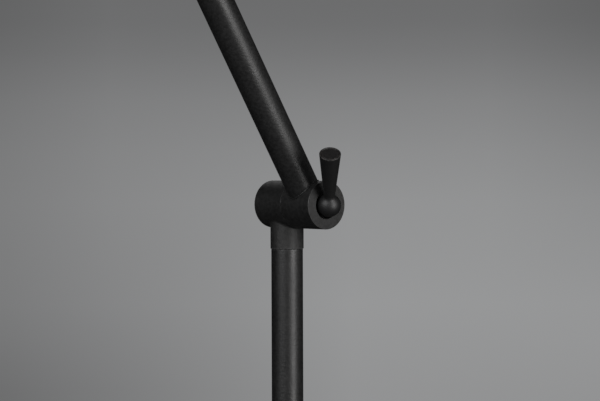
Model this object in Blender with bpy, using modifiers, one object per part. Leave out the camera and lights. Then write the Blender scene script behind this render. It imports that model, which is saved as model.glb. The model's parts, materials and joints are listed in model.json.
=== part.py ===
"""Adjustable arm floor lamp: weighted base, pole, lever-clamped knee, arm and shaded head.

The scene is in metres with +Z up. The constants and the profiles below are in
millimetres, and the helpers convert them. The origin is on the floor under the pole.
At rest the arm rises towards -X, and the clamp lever faces the front, -Y.

A pivot barrel lies along Y. Places along it are given as distances to the front of
the pole's axis, and its turned pieces are made along a local Z that points to -Y.
"""
import math

import bmesh
import bpy

MM = 0.001
GAP = 0.3
OVERSHOOT = 1.0
MERGE = 0.00001
WELD = 0.000002
SIDES = 24
FINE_SIDES = 40
SMALL_SIDES = 12
HEX = 6
EDGE_STEPS = 4
SHARP_ANGLE = math.radians(35.0)
FACE_FRONT = (math.radians(90.0), 0.0, 0.0)
FACE_BACK = (math.radians(-90.0), 0.0, 0.0)
FACE_RIGHT = (0.0, math.radians(90.0), 0.0)
FACE_LEFT = (0.0, math.radians(-90.0), 0.0)
UPRIGHT = (0.0, 0.0, 0.0)

# Base
BASE_RADIUS = 140.0
BASE_HEIGHT = 22.0
BASE_EDGE = 5.0
COVER_WALL = 1.2
COVER_LIFT = 1.5
PAD_RADIUS = 134.0
PAD_THICKNESS = 3.0
WEIGHT_RADIUS = 132.0
WEIGHT_CHAMFER = 1.5
NUT_POCKET_RADIUS = 13.0
NUT_POCKET_DEPTH = 9.0
LEAD_CHANNEL = 8.0
ROD_RADIUS = 5.0
ROD_BORE = 3.2
ROD_TOP = 50.0
NUT_RADIUS = 9.8
NUT_HEIGHT = 5.0
WASHER_RADIUS = 11.5
WASHER_THICKNESS = 1.2
GROMMET_HEIGHT = 10.5
GROMMET_NECK = 4.0
GROMMET_FLANGE = 5.6
GROMMET_BORE = 2.6
GROMMET_SLACK = 0.1
GROMMET_INNER_FLANGE = 1.7
GROMMET_OUTER_FLANGE = 1.0
ROD_END = 0.5
FOOT_RADIUS = 19.0
FOOT_HEIGHT = 12.0
FOOT_NECK = 11.6
FOOT_RIM = 4.0
FOOT_RIM_EDGE = 0.6
FLARE_STEPS = 5

# Pole
KNEE_HEIGHT = 1050.0
POLE_RADIUS = 10.0
TUBE_WALL = 1.2
POLE_JOINT = 540.0
COUPLER_REACH = 25.0
COUPLER_BORE = 6.2
SPIGOT_LENGTH = 22.0
LEAD_BORE = 5.5
SCREW_TIP = 6.2
LOCK_SHANK = 1.7
LOCK_HEAD = 3.6
LOCK_HEAD_HEIGHT = 2.0
LOCK_SOCKET = 1.2
LOCK_DOME = 1.0

# Arm
ARM_RADIUS = 10.25
ARM_LENGTH = 580.0
ARM_TILT = 31.06
ARM_PLANE = 23.4
KNEE_RANGE = (-105.0, 45.0)

# Knee barrel: two halves that meet at a narrow seam
BARREL_RADIUS = 15.0
BARREL_REAR = -14.7
BARREL_FRONT = 38.1
SEAM = 11.7
SEAM_GAP = 0.4
COLLAR_RADIUS = 10.5
COLLAR_DROP = 28.0
COUNTERBORE_RADIUS = 8.5
COUNTERBORE_DEPTH = 6.5

# Clamp lever
STUD_RADIUS = 3.0
BALL_RADIUS = 7.1
BALL_STANDOFF = 2.5
HANDLE_LENGTH = 39.9
HANDLE_ROOT = 2.67
HANDLE_TIP = 6.62
HANDLE_RISE = 28.0
HANDLE_EDGE = 0.4
HUB_RADIUS = 5.2
LEVER_TURN = 26.2
BALL_TOP_ANGLE = 75.0
BALL_HUB_ANGLE = -42.0
BALL_STEPS = 8
SPRING_WASHER = 1.1
STUD_SHORT_OF_BALL = 0.8

# Head pivot: the knee's barrel at a smaller size, turned end for end
HEAD_SCALE = 0.8
HEAD_RANGE = (-30.0, 90.0)
HEAD_COLLAR_DROP = 20.0
STEM_RADIUS = 6.0
STEM_WALL = 1.0
STEM_SOCKET = 8.2
STEM_SOCKET_REACH = 24.0
HEAD_REACH = 125.0
HEAD_SCREW_RADIUS = 4.6
HEAD_SCREW_EDGE = 0.4
HEAD_COUNTERBORE = 6.4
HEAD_COUNTERBORE_DEPTH = 6.0
HEAD_WASHER = 1.0
HEX_SOCKET = 2.3
HEX_SOCKET_DEPTH = 2.4

# Lampholder, shade and lamp, as heights from the head pivot
CUP_RADIUS = 23.0
CUP_WALL = 1.0
CUP_TOP = 22.0
CUP_BOTTOM = -31.0
CUP_EDGE = 4.0
CUP_LEAD_HOLE = 4.5
HOLDER_TOP = -10.0
HOLDER_SPLIT = -18.0
HOLDER_BOTTOM = -46.0
HOLDER_TOP_RADIUS = 17.0
HOLDER_RADIUS = 19.0
HOLDER_FLANGE = 21.7
HOLDER_FLANGE_HEIGHT = 7.0
HOLDER_SCREW_HEIGHT = -26.0
HOLDER_SOCKET = 14.4
SHELL_SHORT = 0.5
SHELL_HEADROOM = 3.0
CONTACT_RADIUS = 4.0
CONTACT_THICKNESS = 1.0
SHADE_RADIUS = 95.0
SHADE_NECK = 28.0
SHADE_DEPTH = 85.0
SHADE_WALL = 1.2
SHADE_BEAD = 1.6
SHADE_ARC_STEPS = 7
BEAD_START = 60.0
BEAD_END = -150.0
SHADE_RING_RADIUS = 25.0
SHADE_RING_HEIGHT = 6.0
CAP_RADIUS = 13.1
CAP_SKIRT = 0.6
CAP_SHOULDER = 5.0
CAP_SHORT = 0.5
CAP_TIP = 4.5
CAP_EDGE = 1.0
CAP_SLOPE_RADIUS = 11.1
LAMP_RADIUS = 22.5
LAMP_CENTRE = -74.0
LAMP_NECK = 12.1
LAMP_NECK_TOP = -39.0
LAMP_NECK_BOTTOM = -48.0
LAMP_SHOULDER_ANGLE = 50.0
GLASS_WALL = 1.0
LAMP_ARC_STEPS = 6
KNOB_RADIUS = 7.5
KNOB_HEIGHT = 11.0
KNOB_EDGE = 0.8
KNOB_FOOT_EDGE = 0.4
KNOB_CROWN = 2.5
SWITCH_RADIUS = 8.0
SWITCH_HEIGHT = 14.0
SWITCH_BUSH = 3.0
SWITCH_SHAFT = 1.8
BUSH_PROUD = 0.8
SWITCH_NUT_RADIUS = 6.0
SWITCH_NUT_HEIGHT = 2.0
CUP_SCREW = 1.4
CUP_SCREW_TIP = 18.0
CUP_SCREW_HEAD = 2.8
CUP_SCREW_RIM = 0.8
CUP_SCREW_SHOULDER = 1.3
CUP_SCREW_CROWN = 1.5
CUP_SCREW_SLOPE = 0.3
CUP_SCREW_FLAT = 1.2

# name: colour, roughness, metallic
FINISHES = {
    "powder_coat": ((0.021, 0.021, 0.022), 0.62, 0.0),
    "smooth_black": ((0.024, 0.023, 0.022), 0.50, 0.0),
    "satin_black": ((0.016, 0.016, 0.017), 0.42, 0.0),
    "cast_iron": ((0.09, 0.09, 0.09), 0.75, 1.0),
    "zinc_steel": ((0.55, 0.55, 0.56), 0.35, 1.0),
    "brass": ((0.72, 0.52, 0.22), 0.30, 1.0),
    "aluminium": ((0.78, 0.78, 0.79), 0.32, 1.0),
    "black_plastic": ((0.02, 0.02, 0.02), 0.45, 0.0),
    "rubber": ((0.03, 0.03, 0.03), 0.80, 0.0),
    "fibre": ((0.10, 0.075, 0.055), 0.70, 0.0),
    "frosted_glass": ((0.93, 0.92, 0.89), 0.30, 0.0),
}


def clear_scene():
    """Remove whatever the open file holds."""
    for item in list(bpy.data.objects):
        bpy.data.objects.remove(item, do_unlink=True)


def make_collection(name):
    """A collection linked to the scene."""
    collection = bpy.data.collections.new(name)
    bpy.context.scene.collection.children.link(collection)
    return collection


clear_scene()
PARTS = make_collection("adjustable_arm_floor_lamp")
CUTTERS = make_collection("cutters")


def finish(name):
    """The named finish as a Principled material, made once."""
    material = bpy.data.materials.get(name)
    if material is None:
        colour, roughness, metallic = FINISHES[name]
        material = bpy.data.materials.new(name)
        material.use_nodes = True
        shader = material.node_tree.nodes["Principled BSDF"]
        shader.inputs["Base Color"].default_value = (*colour, 1.0)
        shader.inputs["Roughness"].default_value = roughness
        shader.inputs["Metallic"].default_value = metallic
        material.diffuse_color = (*colour, 1.0)
    return material


def metres(point):
    """A point in millimetres as one in metres."""
    return tuple(value * MM for value in point)


def place(item, parent, location, rotation):
    """Put an object at a place in millimetres, under a parent if it has one."""
    item.location = metres(location)
    item.rotation_euler = rotation
    item.parent = parent


def make_pivot(name, location, rotation=UPRIGHT, parent=None):
    """An empty on a joint's axis."""
    pivot = bpy.data.objects.new(name, None)
    pivot.empty_display_size = 0.03
    PARTS.objects.link(pivot)
    place(pivot, parent, location, rotation)
    return pivot


def add_object(name, data, material):
    """A visible part if it has a material, otherwise a hidden tool for a Boolean."""
    item = bpy.data.objects.new(name, data)
    if material is None:
        item.hide_render = True
        item.display_type = "WIRE"
        CUTTERS.objects.link(item)
    else:
        data.materials.append(finish(material))
        PARTS.objects.link(item)
    return item


def turned(name, profile, material=None, parent=None, location=(0, 0, 0), rotation=UPRIGHT,
           sides=SIDES):
    """Turn a closed outline of (radius, height) points about the local Z axis.

    A tool starts half a facet round, so its edges never lie on those of what it meets.
    """
    pairs = list(zip(profile, profile[1:] + profile[:1]))
    area = sum(a[0] * b[1] - b[0] * a[1] for a, b in pairs)
    points = profile[::-1] if area > 0 else profile
    count = len(points)
    edges = []
    for index in range(count):
        following = (index + 1) % count
        if points[index][0] > 0 or points[following][0] > 0:
            edges.append((index, following))
    mesh = bpy.data.meshes.new(name)
    phase = math.pi / sides if material is None else 0.0
    across, along = math.cos(phase), math.sin(phase)
    corners = [metres((radius * across, radius * along, height)) for radius, height in points]
    mesh.from_pydata(corners, edges, [])
    item = add_object(name, mesh, material)
    place(item, parent, location, rotation)
    screw = item.modifiers.new("turn", "SCREW")
    screw.axis = "Z"
    screw.angle = math.tau
    screw.steps = sides
    screw.render_steps = sides
    screw.use_merge_vertices = True
    screw.merge_threshold = MERGE
    return item


def rod(name, radius, bottom, top, material=None, **where):
    """A plain round bar."""
    profile = [(0, top), (radius, top), (radius, bottom), (0, bottom)]
    return turned(name, profile, material, **where)


def ring(name, inner, outer, bottom, top, material=None, **where):
    """A plain tube or washer."""
    profile = [(inner, top), (outer, top), (outer, bottom), (inner, bottom)]
    return turned(name, profile, material, **where)


def box_tool(name, low, high, parent=None):
    """A box for cutting, from its lowest to its highest corner."""
    mesh = bpy.data.meshes.new(name)
    shape = bmesh.new()
    bmesh.ops.create_cube(shape, size=1.0)
    for vertex in shape.verts:
        for axis in range(3):
            share = vertex.co[axis] + 0.5
            vertex.co[axis] = (low[axis] + (high[axis] - low[axis]) * share) * MM
    shape.to_mesh(mesh)
    shape.free()
    item = add_object(name, mesh, None)
    item.parent = parent
    return item


def arc(centre, radius, start, end, steps):
    """Points of a circular arc, from start to end in degrees."""
    points = []
    for index in range(steps + 1):
        angle = math.radians(start + (end - start) * index / steps)
        points.append((centre[0] + radius * math.cos(angle), centre[1] + radius * math.sin(angle)))
    return points


def slot_tool(name, inner, outer, start, end, bottom, top, **where):
    """A ring sector for cutting, from the start angle to the end angle about local Z."""
    steps = SIDES
    outline = arc((0, 0), outer, start, end, steps) + arc((0, 0), inner, end, start, steps)
    curve = bpy.data.curves.new(name, "CURVE")
    curve.dimensions = "2D"
    curve.fill_mode = "BOTH"
    curve.extrude = (top - bottom) / 2 * MM
    spline = curve.splines.new("POLY")
    spline.points.add(len(outline) - 1)
    for point, (x, y) in zip(spline.points, outline):
        point.co = (x * MM, y * MM, 0, 1)
    spline.use_cyclic_u = True
    draft = bpy.data.objects.new(name + "_outline", curve)
    CUTTERS.objects.link(draft)
    bpy.context.view_layer.update()
    evaluated = draft.evaluated_get(bpy.context.evaluated_depsgraph_get())
    mesh = bpy.data.meshes.new_from_object(evaluated)
    bpy.data.objects.remove(draft, do_unlink=True)
    shape = bmesh.new()
    shape.from_mesh(mesh)
    bmesh.ops.remove_doubles(shape, verts=shape.verts, dist=MERGE)
    bmesh.ops.translate(shape, verts=shape.verts, vec=(0, 0, (top + bottom) / 2 * MM))
    bmesh.ops.recalc_face_normals(shape, faces=shape.faces)
    shape.to_mesh(mesh)
    shape.free()
    item = add_object(name, mesh, None)
    place(item, where["parent"], where["location"], where["rotation"])
    return item


def combine(target, tool, operation):
    """Join a tool to the target, or cut it away."""
    modifier = target.modifiers.new(tool.name, "BOOLEAN")
    modifier.solver = "EXACT"
    modifier.operation = operation
    modifier.object = tool


def join(target, *tools):
    for tool in tools:
        combine(target, tool, "UNION")


def cut(target, *tools):
    for tool in tools:
        combine(target, tool, "DIFFERENCE")


def weld(mesh):
    """Join the doubled corners that a cut can leave."""
    shape = bmesh.new()
    shape.from_mesh(mesh)
    bmesh.ops.remove_doubles(shape, verts=shape.verts, dist=WELD)
    bmesh.ops.dissolve_degenerate(shape, edges=shape.edges, dist=WELD)
    shape.to_mesh(mesh)
    shape.free()


def settle_meshes():
    """Apply the modifiers, then shade the round faces smooth and keep the edges sharp."""
    bpy.context.view_layer.update()
    graph = bpy.context.evaluated_depsgraph_get()
    settled = {}
    for item in PARTS.objects:
        if item.type == "MESH":
            settled[item] = bpy.data.meshes.new_from_object(item.evaluated_get(graph))
    for item, mesh in settled.items():
        item.modifiers.clear()
        item.data = mesh
        weld(mesh)
        mesh.shade_smooth()
        mesh.set_sharp_from_angle(angle=SHARP_ANGLE)


# ---------------------------------------------------------------- base

WEIGHT_BOTTOM = PAD_THICKNESS + GAP
WEIGHT_TOP = BASE_HEIGHT - COVER_WALL - GAP
POCKET_TOP = WEIGHT_BOTTOM + NUT_POCKET_DEPTH
FOOT_BOTTOM = BASE_HEIGHT + GAP
POLE_BOTTOM = FOOT_BOTTOM + FOOT_HEIGHT + GAP
POLE_BORE = POLE_RADIUS - TUBE_WALL
SPIGOT_RADIUS = POLE_BORE - GAP


def make_base_pad():
    rod("base_pad", PAD_RADIUS, 0, PAD_THICKNESS, "rubber", sides=FINE_SIDES)


def make_base_weight():
    """A cast disc with a pocket for the nut and a channel for the lead underneath."""
    edge = WEIGHT_RADIUS - WEIGHT_CHAMFER
    profile = [
        (ROD_RADIUS + GAP, WEIGHT_TOP),
        (edge, WEIGHT_TOP),
        (WEIGHT_RADIUS, WEIGHT_TOP - WEIGHT_CHAMFER),
        (WEIGHT_RADIUS, WEIGHT_BOTTOM + WEIGHT_CHAMFER),
        (edge, WEIGHT_BOTTOM),
        (NUT_POCKET_RADIUS, WEIGHT_BOTTOM),
        (NUT_POCKET_RADIUS, POCKET_TOP),
        (ROD_RADIUS + GAP, POCKET_TOP),
    ]
    weight = turned("base_weight", profile, "cast_iron", sides=FINE_SIDES)
    half = LEAD_CHANNEL / 2
    low = (NUT_POCKET_RADIUS - 2 * OVERSHOOT, -half, WEIGHT_BOTTOM - OVERSHOOT)
    high = (WEIGHT_RADIUS + OVERSHOOT, half, WEIGHT_BOTTOM + LEAD_CHANNEL)
    cut(weight, box_tool("lead_channel", low, high))


def make_base_cover():
    """A spun shell over the weight, with a rounded edge and a hole for the grommet."""
    outer = arc((BASE_RADIUS - BASE_EDGE, BASE_HEIGHT - BASE_EDGE), BASE_EDGE, 90, 0,
                EDGE_STEPS)
    inner_radius = BASE_EDGE - COVER_WALL
    inner = arc((BASE_RADIUS - BASE_EDGE, BASE_HEIGHT - BASE_EDGE), inner_radius, 0, 90,
                EDGE_STEPS - 1)
    hole = ROD_RADIUS + GAP
    profile = [(hole, BASE_HEIGHT)] + outer + [(BASE_RADIUS, COVER_LIFT)]
    profile += [(BASE_RADIUS - COVER_WALL, COVER_LIFT)] + inner
    profile += [(hole, BASE_HEIGHT - COVER_WALL)]
    cover = turned("base_cover", profile, "powder_coat", sides=FINE_SIDES)
    drill = rod("grommet_hole", GROMMET_NECK + GAP, -GROMMET_FLANGE, GROMMET_FLANGE,
                location=(BASE_RADIUS, 0, GROMMET_HEIGHT), rotation=FACE_RIGHT,
                sides=SMALL_SIDES)
    cut(cover, drill)


def make_base_grommet():
    """A flanged rubber inlet for the mains lead, on the side away from the arm."""
    inside = -COVER_WALL - GAP - 2 * GROMMET_SLACK
    outside = GAP + GROMMET_SLACK
    profile = [
        (GROMMET_BORE, inside - GROMMET_INNER_FLANGE),
        (GROMMET_FLANGE, inside - GROMMET_INNER_FLANGE),
        (GROMMET_FLANGE, inside),
        (GROMMET_NECK, inside),
        (GROMMET_NECK, outside),
        (GROMMET_FLANGE, outside),
        (GROMMET_FLANGE, outside + GROMMET_OUTER_FLANGE),
        (GROMMET_FLANGE - GROMMET_OUTER_FLANGE, outside + 2 * GROMMET_OUTER_FLANGE),
        (GROMMET_BORE, outside + 2 * GROMMET_OUTER_FLANGE),
    ]
    turned("base_grommet", profile, "rubber", location=(BASE_RADIUS, 0, GROMMET_HEIGHT),
           rotation=FACE_RIGHT, sides=SMALL_SIDES)


def make_base_fastening():
    """The hollow rod through the base, and its washer and nut in the pocket."""
    hole = ROD_RADIUS + GAP
    washer_top = POCKET_TOP - GAP
    washer_bottom = washer_top - WASHER_THICKNESS
    nut_top = washer_bottom - GAP
    nut_bottom = nut_top - NUT_HEIGHT
    rod_bottom = nut_bottom - ROD_END
    ring("base_rod", ROD_BORE, ROD_RADIUS, rod_bottom, ROD_TOP, "zinc_steel")
    ring("base_washer", hole, WASHER_RADIUS, washer_bottom, washer_top, "zinc_steel")
    nut = rod("base_nut", NUT_RADIUS, nut_bottom, nut_top, "zinc_steel", sides=HEX)
    cut(nut, rod("nut_hole", hole, nut_bottom - OVERSHOOT, nut_top + OVERSHOOT))


def make_pole_foot():
    """A turned foot that stands on the cover and carries the pole on a spigot."""
    top = FOOT_BOTTOM + FOOT_HEIGHT
    rim_top = FOOT_BOTTOM + FOOT_RIM
    sweep = FOOT_RADIUS - FOOT_RIM_EDGE - FOOT_NECK
    rise = top - rim_top
    flare = []
    for step in range(FLARE_STEPS + 1):
        turn = math.radians(90.0 * step / FLARE_STEPS)
        flare.append((FOOT_NECK + sweep * (1 - math.sin(turn)),
                      rim_top + rise * (1 - math.cos(turn))))
    profile = [
        (ROD_RADIUS + GAP, FOOT_BOTTOM),
        (FOOT_RADIUS, FOOT_BOTTOM),
        (FOOT_RADIUS, rim_top - FOOT_RIM_EDGE),
    ]
    profile += flare
    profile += [
        (SPIGOT_RADIUS, top),
        (SPIGOT_RADIUS, top + SPIGOT_LENGTH),
        (ROD_RADIUS + GAP, top + SPIGOT_LENGTH),
    ]
    turned("pole_foot", profile, "powder_coat")


# ---------------------------------------------------------------- pole

POLE_TOP = KNEE_HEIGHT - COLLAR_DROP - GAP
POLE_SCREW_HEIGHT = POLE_TOP - SPIGOT_LENGTH / 2


def lock_screw(name, parent, height, centre, tube_radius):
    """A button-head screw through a tube, square to its axis on the back side."""
    profile = [
        (0, SCREW_TIP),
        (LOCK_SHANK, SCREW_TIP),
        (LOCK_SHANK, tube_radius + GAP),
        (LOCK_HEAD, tube_radius + GAP),
        (LOCK_HEAD, tube_radius + GAP + LOCK_HEAD_HEIGHT / 2),
        (LOCK_HEAD - LOCK_DOME, tube_radius + GAP + LOCK_HEAD_HEIGHT),
        (LOCK_SOCKET, tube_radius + GAP + LOCK_HEAD_HEIGHT),
        (LOCK_SOCKET, tube_radius + GAP + LOCK_HEAD_HEIGHT / 2),
        (0, tube_radius + GAP + LOCK_HEAD_HEIGHT / 2),
    ]
    turned(name, profile, "zinc_steel", parent=parent, location=(0, -centre, height),
           rotation=FACE_BACK, sides=SMALL_SIDES)


def lock_hole(name, parent, height, centre):
    """The hole that a lock screw passes through."""
    return rod(name, LOCK_SHANK + GAP, 0, BARREL_RADIUS, parent=parent,
               location=(0, -centre, height), rotation=FACE_BACK, sides=SMALL_SIDES)


def make_pole():
    """Two tubes that meet on a hidden coupler."""
    ring("pole_lower", POLE_BORE, POLE_RADIUS, POLE_BOTTOM, POLE_JOINT - GAP / 2, "powder_coat")
    upper = ring("pole_upper", POLE_BORE, POLE_RADIUS, POLE_JOINT + GAP / 2, POLE_TOP,
                 "powder_coat")
    cut(upper, lock_hole("pole_screw_hole", None, POLE_SCREW_HEIGHT, 0))
    ring("pole_coupler", COUPLER_BORE, SPIGOT_RADIUS, POLE_JOINT - COUPLER_REACH,
         POLE_JOINT + COUPLER_REACH, "zinc_steel")


# ---------------------------------------------------------------- pivot barrels

class Barrel:
    """Sizes of one pivot barrel, and the pieces that the knee and the head share."""

    # All of these are multiplied by the barrel's scale
    EDGE = 0.8
    SEAM_EDGE = 0.25
    CAVITY = 12.2
    BOSS = 5.2
    BOSS_REACH = 8.5
    WEB = 4.5
    WASHER_INNER = 11.4
    WASHER_OUTER = 13.8
    WASHER_POCKET = 0.9
    LEAD_RING = 8.3
    LEAD_HOLE = 2.5
    PIN = 1.7
    PIN_SPREAD = 36.0
    SLOT_INNER = 5.5
    SLOT_OUTER = 11.0
    PIN_DEPTH = 6.0
    CAP_THICKNESS = 2.5

    # These are shares of another size
    FRONT_EDGE = 0.6
    PIN_REACH = 0.8

    def __init__(self, name, scale, seam):
        self.name = name
        self.scale = scale
        self.seam = seam
        self.radius = BARREL_RADIUS * scale
        self.bore = (STUD_RADIUS + GAP / scale) * scale
        self.hollow_length = (SEAM - SEAM_GAP / 2 - BARREL_REAR) * scale
        self.solid_length = (BARREL_FRONT - SEAM - SEAM_GAP / 2) * scale

    def size(self, value):
        """A size of the full-scale barrel at this one's scale."""
        return value * self.scale

    def where(self, parent):
        """The turned pieces' place: local Z points from the hollow to the solid half."""
        return {"parent": parent, "location": (0, -self.seam, 0), "rotation": FACE_FRONT}

    def body(self, name, parent, face, end, end_edge):
        """A plain half: a bar from its seam face to its end, with both rims broken."""
        step = math.copysign(1.0, end - face)
        seam_edge = self.size(self.SEAM_EDGE)
        profile = [
            (0, face),
            (self.radius - seam_edge, face),
            (self.radius, face + seam_edge * step),
            (self.radius, end - end_edge * step),
            (self.radius - end_edge, end),
            (0, end),
        ]
        return turned(name, profile, "smooth_black", **self.where(parent))

    def shared_tools(self, parent, face, end):
        """The washer pocket at the seam and the bore for the stud."""
        step = math.copysign(1.0, end - face)
        pocket = sorted((face - OVERSHOOT * step, face + self.size(self.WASHER_POCKET) * step))
        bore = sorted((face - OVERSHOOT * step, end + OVERSHOOT * step))
        return [
            ring(self.name + "_washer_pocket", self.size(self.WASHER_INNER),
                 self.size(self.WASHER_OUTER), *pocket, **self.where(parent)),
            rod(self.name + "_stud_bore", self.bore, *bore, **self.where(parent)),
        ]

    def hollow_half(self, parent):
        """The half that holds the lead cavity, before it is cut."""
        face = -SEAM_GAP / 2
        return self.body(self.name + "_hollow_half", parent, face, face - self.hollow_length,
                         self.size(self.EDGE))

    def hollow_tools(self, parent, slot_start, slot_end):
        """Tools for the cavity round the boss, and for the slot through the web."""
        face = -SEAM_GAP / 2
        rear = face - self.hollow_length
        web = face - self.size(self.WEB)
        boss_end = web - self.size(self.BOSS_REACH)
        cavity = turned(self.name + "_cavity", [
            (self.size(self.BOSS), web),
            (self.size(self.CAVITY), web),
            (self.size(self.CAVITY), rear - OVERSHOOT),
            (0, rear - OVERSHOOT),
            (0, boss_end),
            (self.size(self.BOSS), boss_end),
        ], **self.where(parent))
        slot = slot_tool(self.name + "_slot", self.size(self.SLOT_INNER),
                         self.size(self.SLOT_OUTER), slot_start, slot_end,
                         web - OVERSHOOT, face + OVERSHOOT, **self.where(parent))
        return [cavity, slot] + self.shared_tools(parent, face, rear)

    def end_cap(self, parent):
        """A plug that closes the cavity flush with the end of the barrel."""
        rear = -SEAM_GAP / 2 - self.hollow_length
        cap = self.size(self.CAVITY) - GAP
        chamfer = self.size(self.EDGE) / 2
        inside = rear + GAP + self.size(self.CAP_THICKNESS)
        profile = [
            (0, inside),
            (cap, inside),
            (cap, rear + GAP + chamfer),
            (cap - chamfer, rear + GAP),
            (0, rear + GAP),
        ]
        turned(self.name + "_end_cap", profile, "satin_black", **self.where(parent))

    def solid_half(self, parent):
        """The half that is drilled from both ends, before it is cut."""
        face = SEAM_GAP / 2
        return self.body(self.name + "_solid_half", parent, face, face + self.solid_length,
                         self.size(self.EDGE) * self.FRONT_EDGE)

    def solid_tools(self, parent, counterbore_radius, counterbore_depth, lead_angle):
        """Tools for the counterbore, the lead hole and the stop pin holes."""
        face = SEAM_GAP / 2
        front = face + self.solid_length
        counterbore = rod(self.name + "_counterbore", counterbore_radius,
                          front - counterbore_depth, front + OVERSHOOT, **self.where(parent))
        drills = self.solid_drills(parent, lead_angle, front / 2)
        return [counterbore] + drills + self.shared_tools(parent, face, front)

    def solid_drills(self, parent, lead_angle, depth):
        """Tools for the lead hole and the two stop pin holes in the seam face."""
        lead = rod(self.name + "_lead_hole", self.size(self.LEAD_HOLE), -OVERSHOOT, depth,
                   sides=SMALL_SIDES, **self.on_ring(parent, lead_angle))
        drills = [lead]
        for side in (-1, 1):
            angle = lead_angle + side * self.PIN_SPREAD
            radius = self.size(self.PIN) + GAP
            drills.append(rod(self.name + "_pin_hole", radius, -OVERSHOOT,
                              self.size(self.PIN_DEPTH) + GAP, sides=SMALL_SIDES,
                              **self.on_ring(parent, angle)))
        return drills

    def on_ring(self, parent, angle):
        """A place on the lead ring, at an angle about the barrel's local Z."""
        turn = math.radians(angle)
        across = self.size(self.LEAD_RING) * math.cos(turn)
        up = self.size(self.LEAD_RING) * math.sin(turn)
        where = self.where(parent)
        where["location"] = (across, -self.seam, up)
        return where

    def stop_pins(self, parent, lead_angle):
        """Two pins that run in the slotted web and end the turn."""
        reach = SEAM_GAP / 2 + self.size(self.WEB) * self.PIN_REACH
        for label, side in (("a", -1), ("b", 1)):
            angle = lead_angle + side * self.PIN_SPREAD
            rod(f"{self.name}_stop_pin_{label}", self.size(self.PIN), -reach,
                self.size(self.PIN_DEPTH), "zinc_steel", sides=SMALL_SIDES,
                **self.on_ring(parent, angle))

    def friction_washer(self, parent):
        """A fibre ring in the facing pockets of the two halves."""
        half = SEAM_GAP / 2 + self.size(self.WASHER_POCKET) - GAP
        ring(self.name + "_friction_washer", self.size(self.WASHER_INNER) + GAP,
             self.size(self.WASHER_OUTER) - GAP, -half, half, "fibre", **self.where(parent))

    def slot_limits(self, lead_angle, turns):
        """Where the slot starts and ends, for the solid half turning between two angles."""
        pin_share = math.degrees((self.size(self.PIN) + GAP) / self.size(self.LEAD_RING))
        reach = self.PIN_SPREAD + pin_share
        return lead_angle + min(turns) - reach, lead_angle + max(turns) + reach


KNEE = Barrel("knee", 1.0, SEAM)
HEAD_SEAM = ARM_PLANE - SEAM_GAP / 2 - (BARREL_FRONT - SEAM - SEAM_GAP / 2) * HEAD_SCALE / 2
HEAD = Barrel("head", HEAD_SCALE, HEAD_SEAM)
HEAD_PLANE = HEAD_SEAM - SEAM_GAP / 2 - HEAD.hollow_length / 2
KNEE_LEAD_ANGLE = 90.0
HEAD_LEAD_ANGLE = 270.0


def stepped_neck(name, collar_radius, drop, barrel_radius, **where):
    """A collar under a barrel with the narrower spigot that enters a tube."""
    profile = [
        (0, -barrel_radius / 2),
        (collar_radius, -barrel_radius / 2),
        (collar_radius, -drop),
        (SPIGOT_RADIUS, -drop),
        (SPIGOT_RADIUS, -drop - SPIGOT_LENGTH),
        (0, -drop - SPIGOT_LENGTH),
    ]
    return turned(name, profile, **where)


def make_knee_hollow_half(stand):
    """The pole's half: barrel, collar and a bored spigot inside the pole."""
    turns = [-turn for turn in KNEE_RANGE]
    start, end = KNEE.slot_limits(KNEE_LEAD_ANGLE + ARM_TILT, turns)
    half = KNEE.hollow_half(stand)
    collar = stepped_neck("knee_collar", COLLAR_RADIUS, COLLAR_DROP, BARREL_RADIUS,
                          parent=stand)
    bore = rod("knee_lead_bore", LEAD_BORE, -COLLAR_DROP - SPIGOT_LENGTH - OVERSHOOT,
               -BARREL_RADIUS / 2, parent=stand)
    join(half, collar)
    screw_height = POLE_SCREW_HEIGHT - KNEE_HEIGHT
    cut(half, *KNEE.hollow_tools(stand, start, end), bore,
        lock_hole("spigot_screw_hole", stand, screw_height, 0))


def make_knee_solid_half(arm):
    """The arm's half: barrel with the lever's counterbore, and a spigot inside the arm."""
    half = KNEE.solid_half(arm)
    plane = (0, -ARM_PLANE, 0)
    top = BARREL_RADIUS + SPIGOT_LENGTH
    spigot = rod("arm_spigot", ARM_RADIUS - TUBE_WALL - GAP, BARREL_RADIUS / 2, top, parent=arm,
                 location=plane)
    bore = rod("arm_lead_bore", LEAD_BORE, KNEE.size(Barrel.BOSS), top + OVERSHOOT, parent=arm,
               location=plane)
    join(half, spigot)
    cut(half, *KNEE.solid_tools(arm, COUNTERBORE_RADIUS, COUNTERBORE_DEPTH, KNEE_LEAD_ANGLE),
        bore)


def make_arm_tube(arm):
    """The arm, its foot coped to the knee barrel and its far end square."""
    top = ARM_LENGTH - HEAD_COLLAR_DROP - GAP
    tube = ring("arm_tube", ARM_RADIUS - TUBE_WALL, ARM_RADIUS, 0, top, "powder_coat",
                parent=arm, location=(0, -ARM_PLANE, 0))
    cope = rod("arm_cope", BARREL_RADIUS + GAP, -BARREL_FRONT, BARREL_FRONT, parent=arm,
               location=(0, -ARM_PLANE, 0), rotation=FACE_FRONT)
    screw_height = top - SPIGOT_LENGTH / 2
    cut(tube, cope, lock_hole("arm_screw_hole", arm, screw_height, ARM_PLANE))
    lock_screw("arm_lock_screw", arm, screw_height, ARM_PLANE, ARM_RADIUS)


# ---------------------------------------------------------------- clamp

COUNTERBORE_FLOOR = BARREL_FRONT - COUNTERBORE_DEPTH
SPRING_WASHER_TOP = COUNTERBORE_FLOOR + GAP + SPRING_WASHER
HUB_BOTTOM = SPRING_WASHER_TOP + GAP
BALL_CENTRE = BARREL_FRONT + BALL_STANDOFF
STUD_END = BALL_CENTRE - STUD_SHORT_OF_BALL


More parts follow.
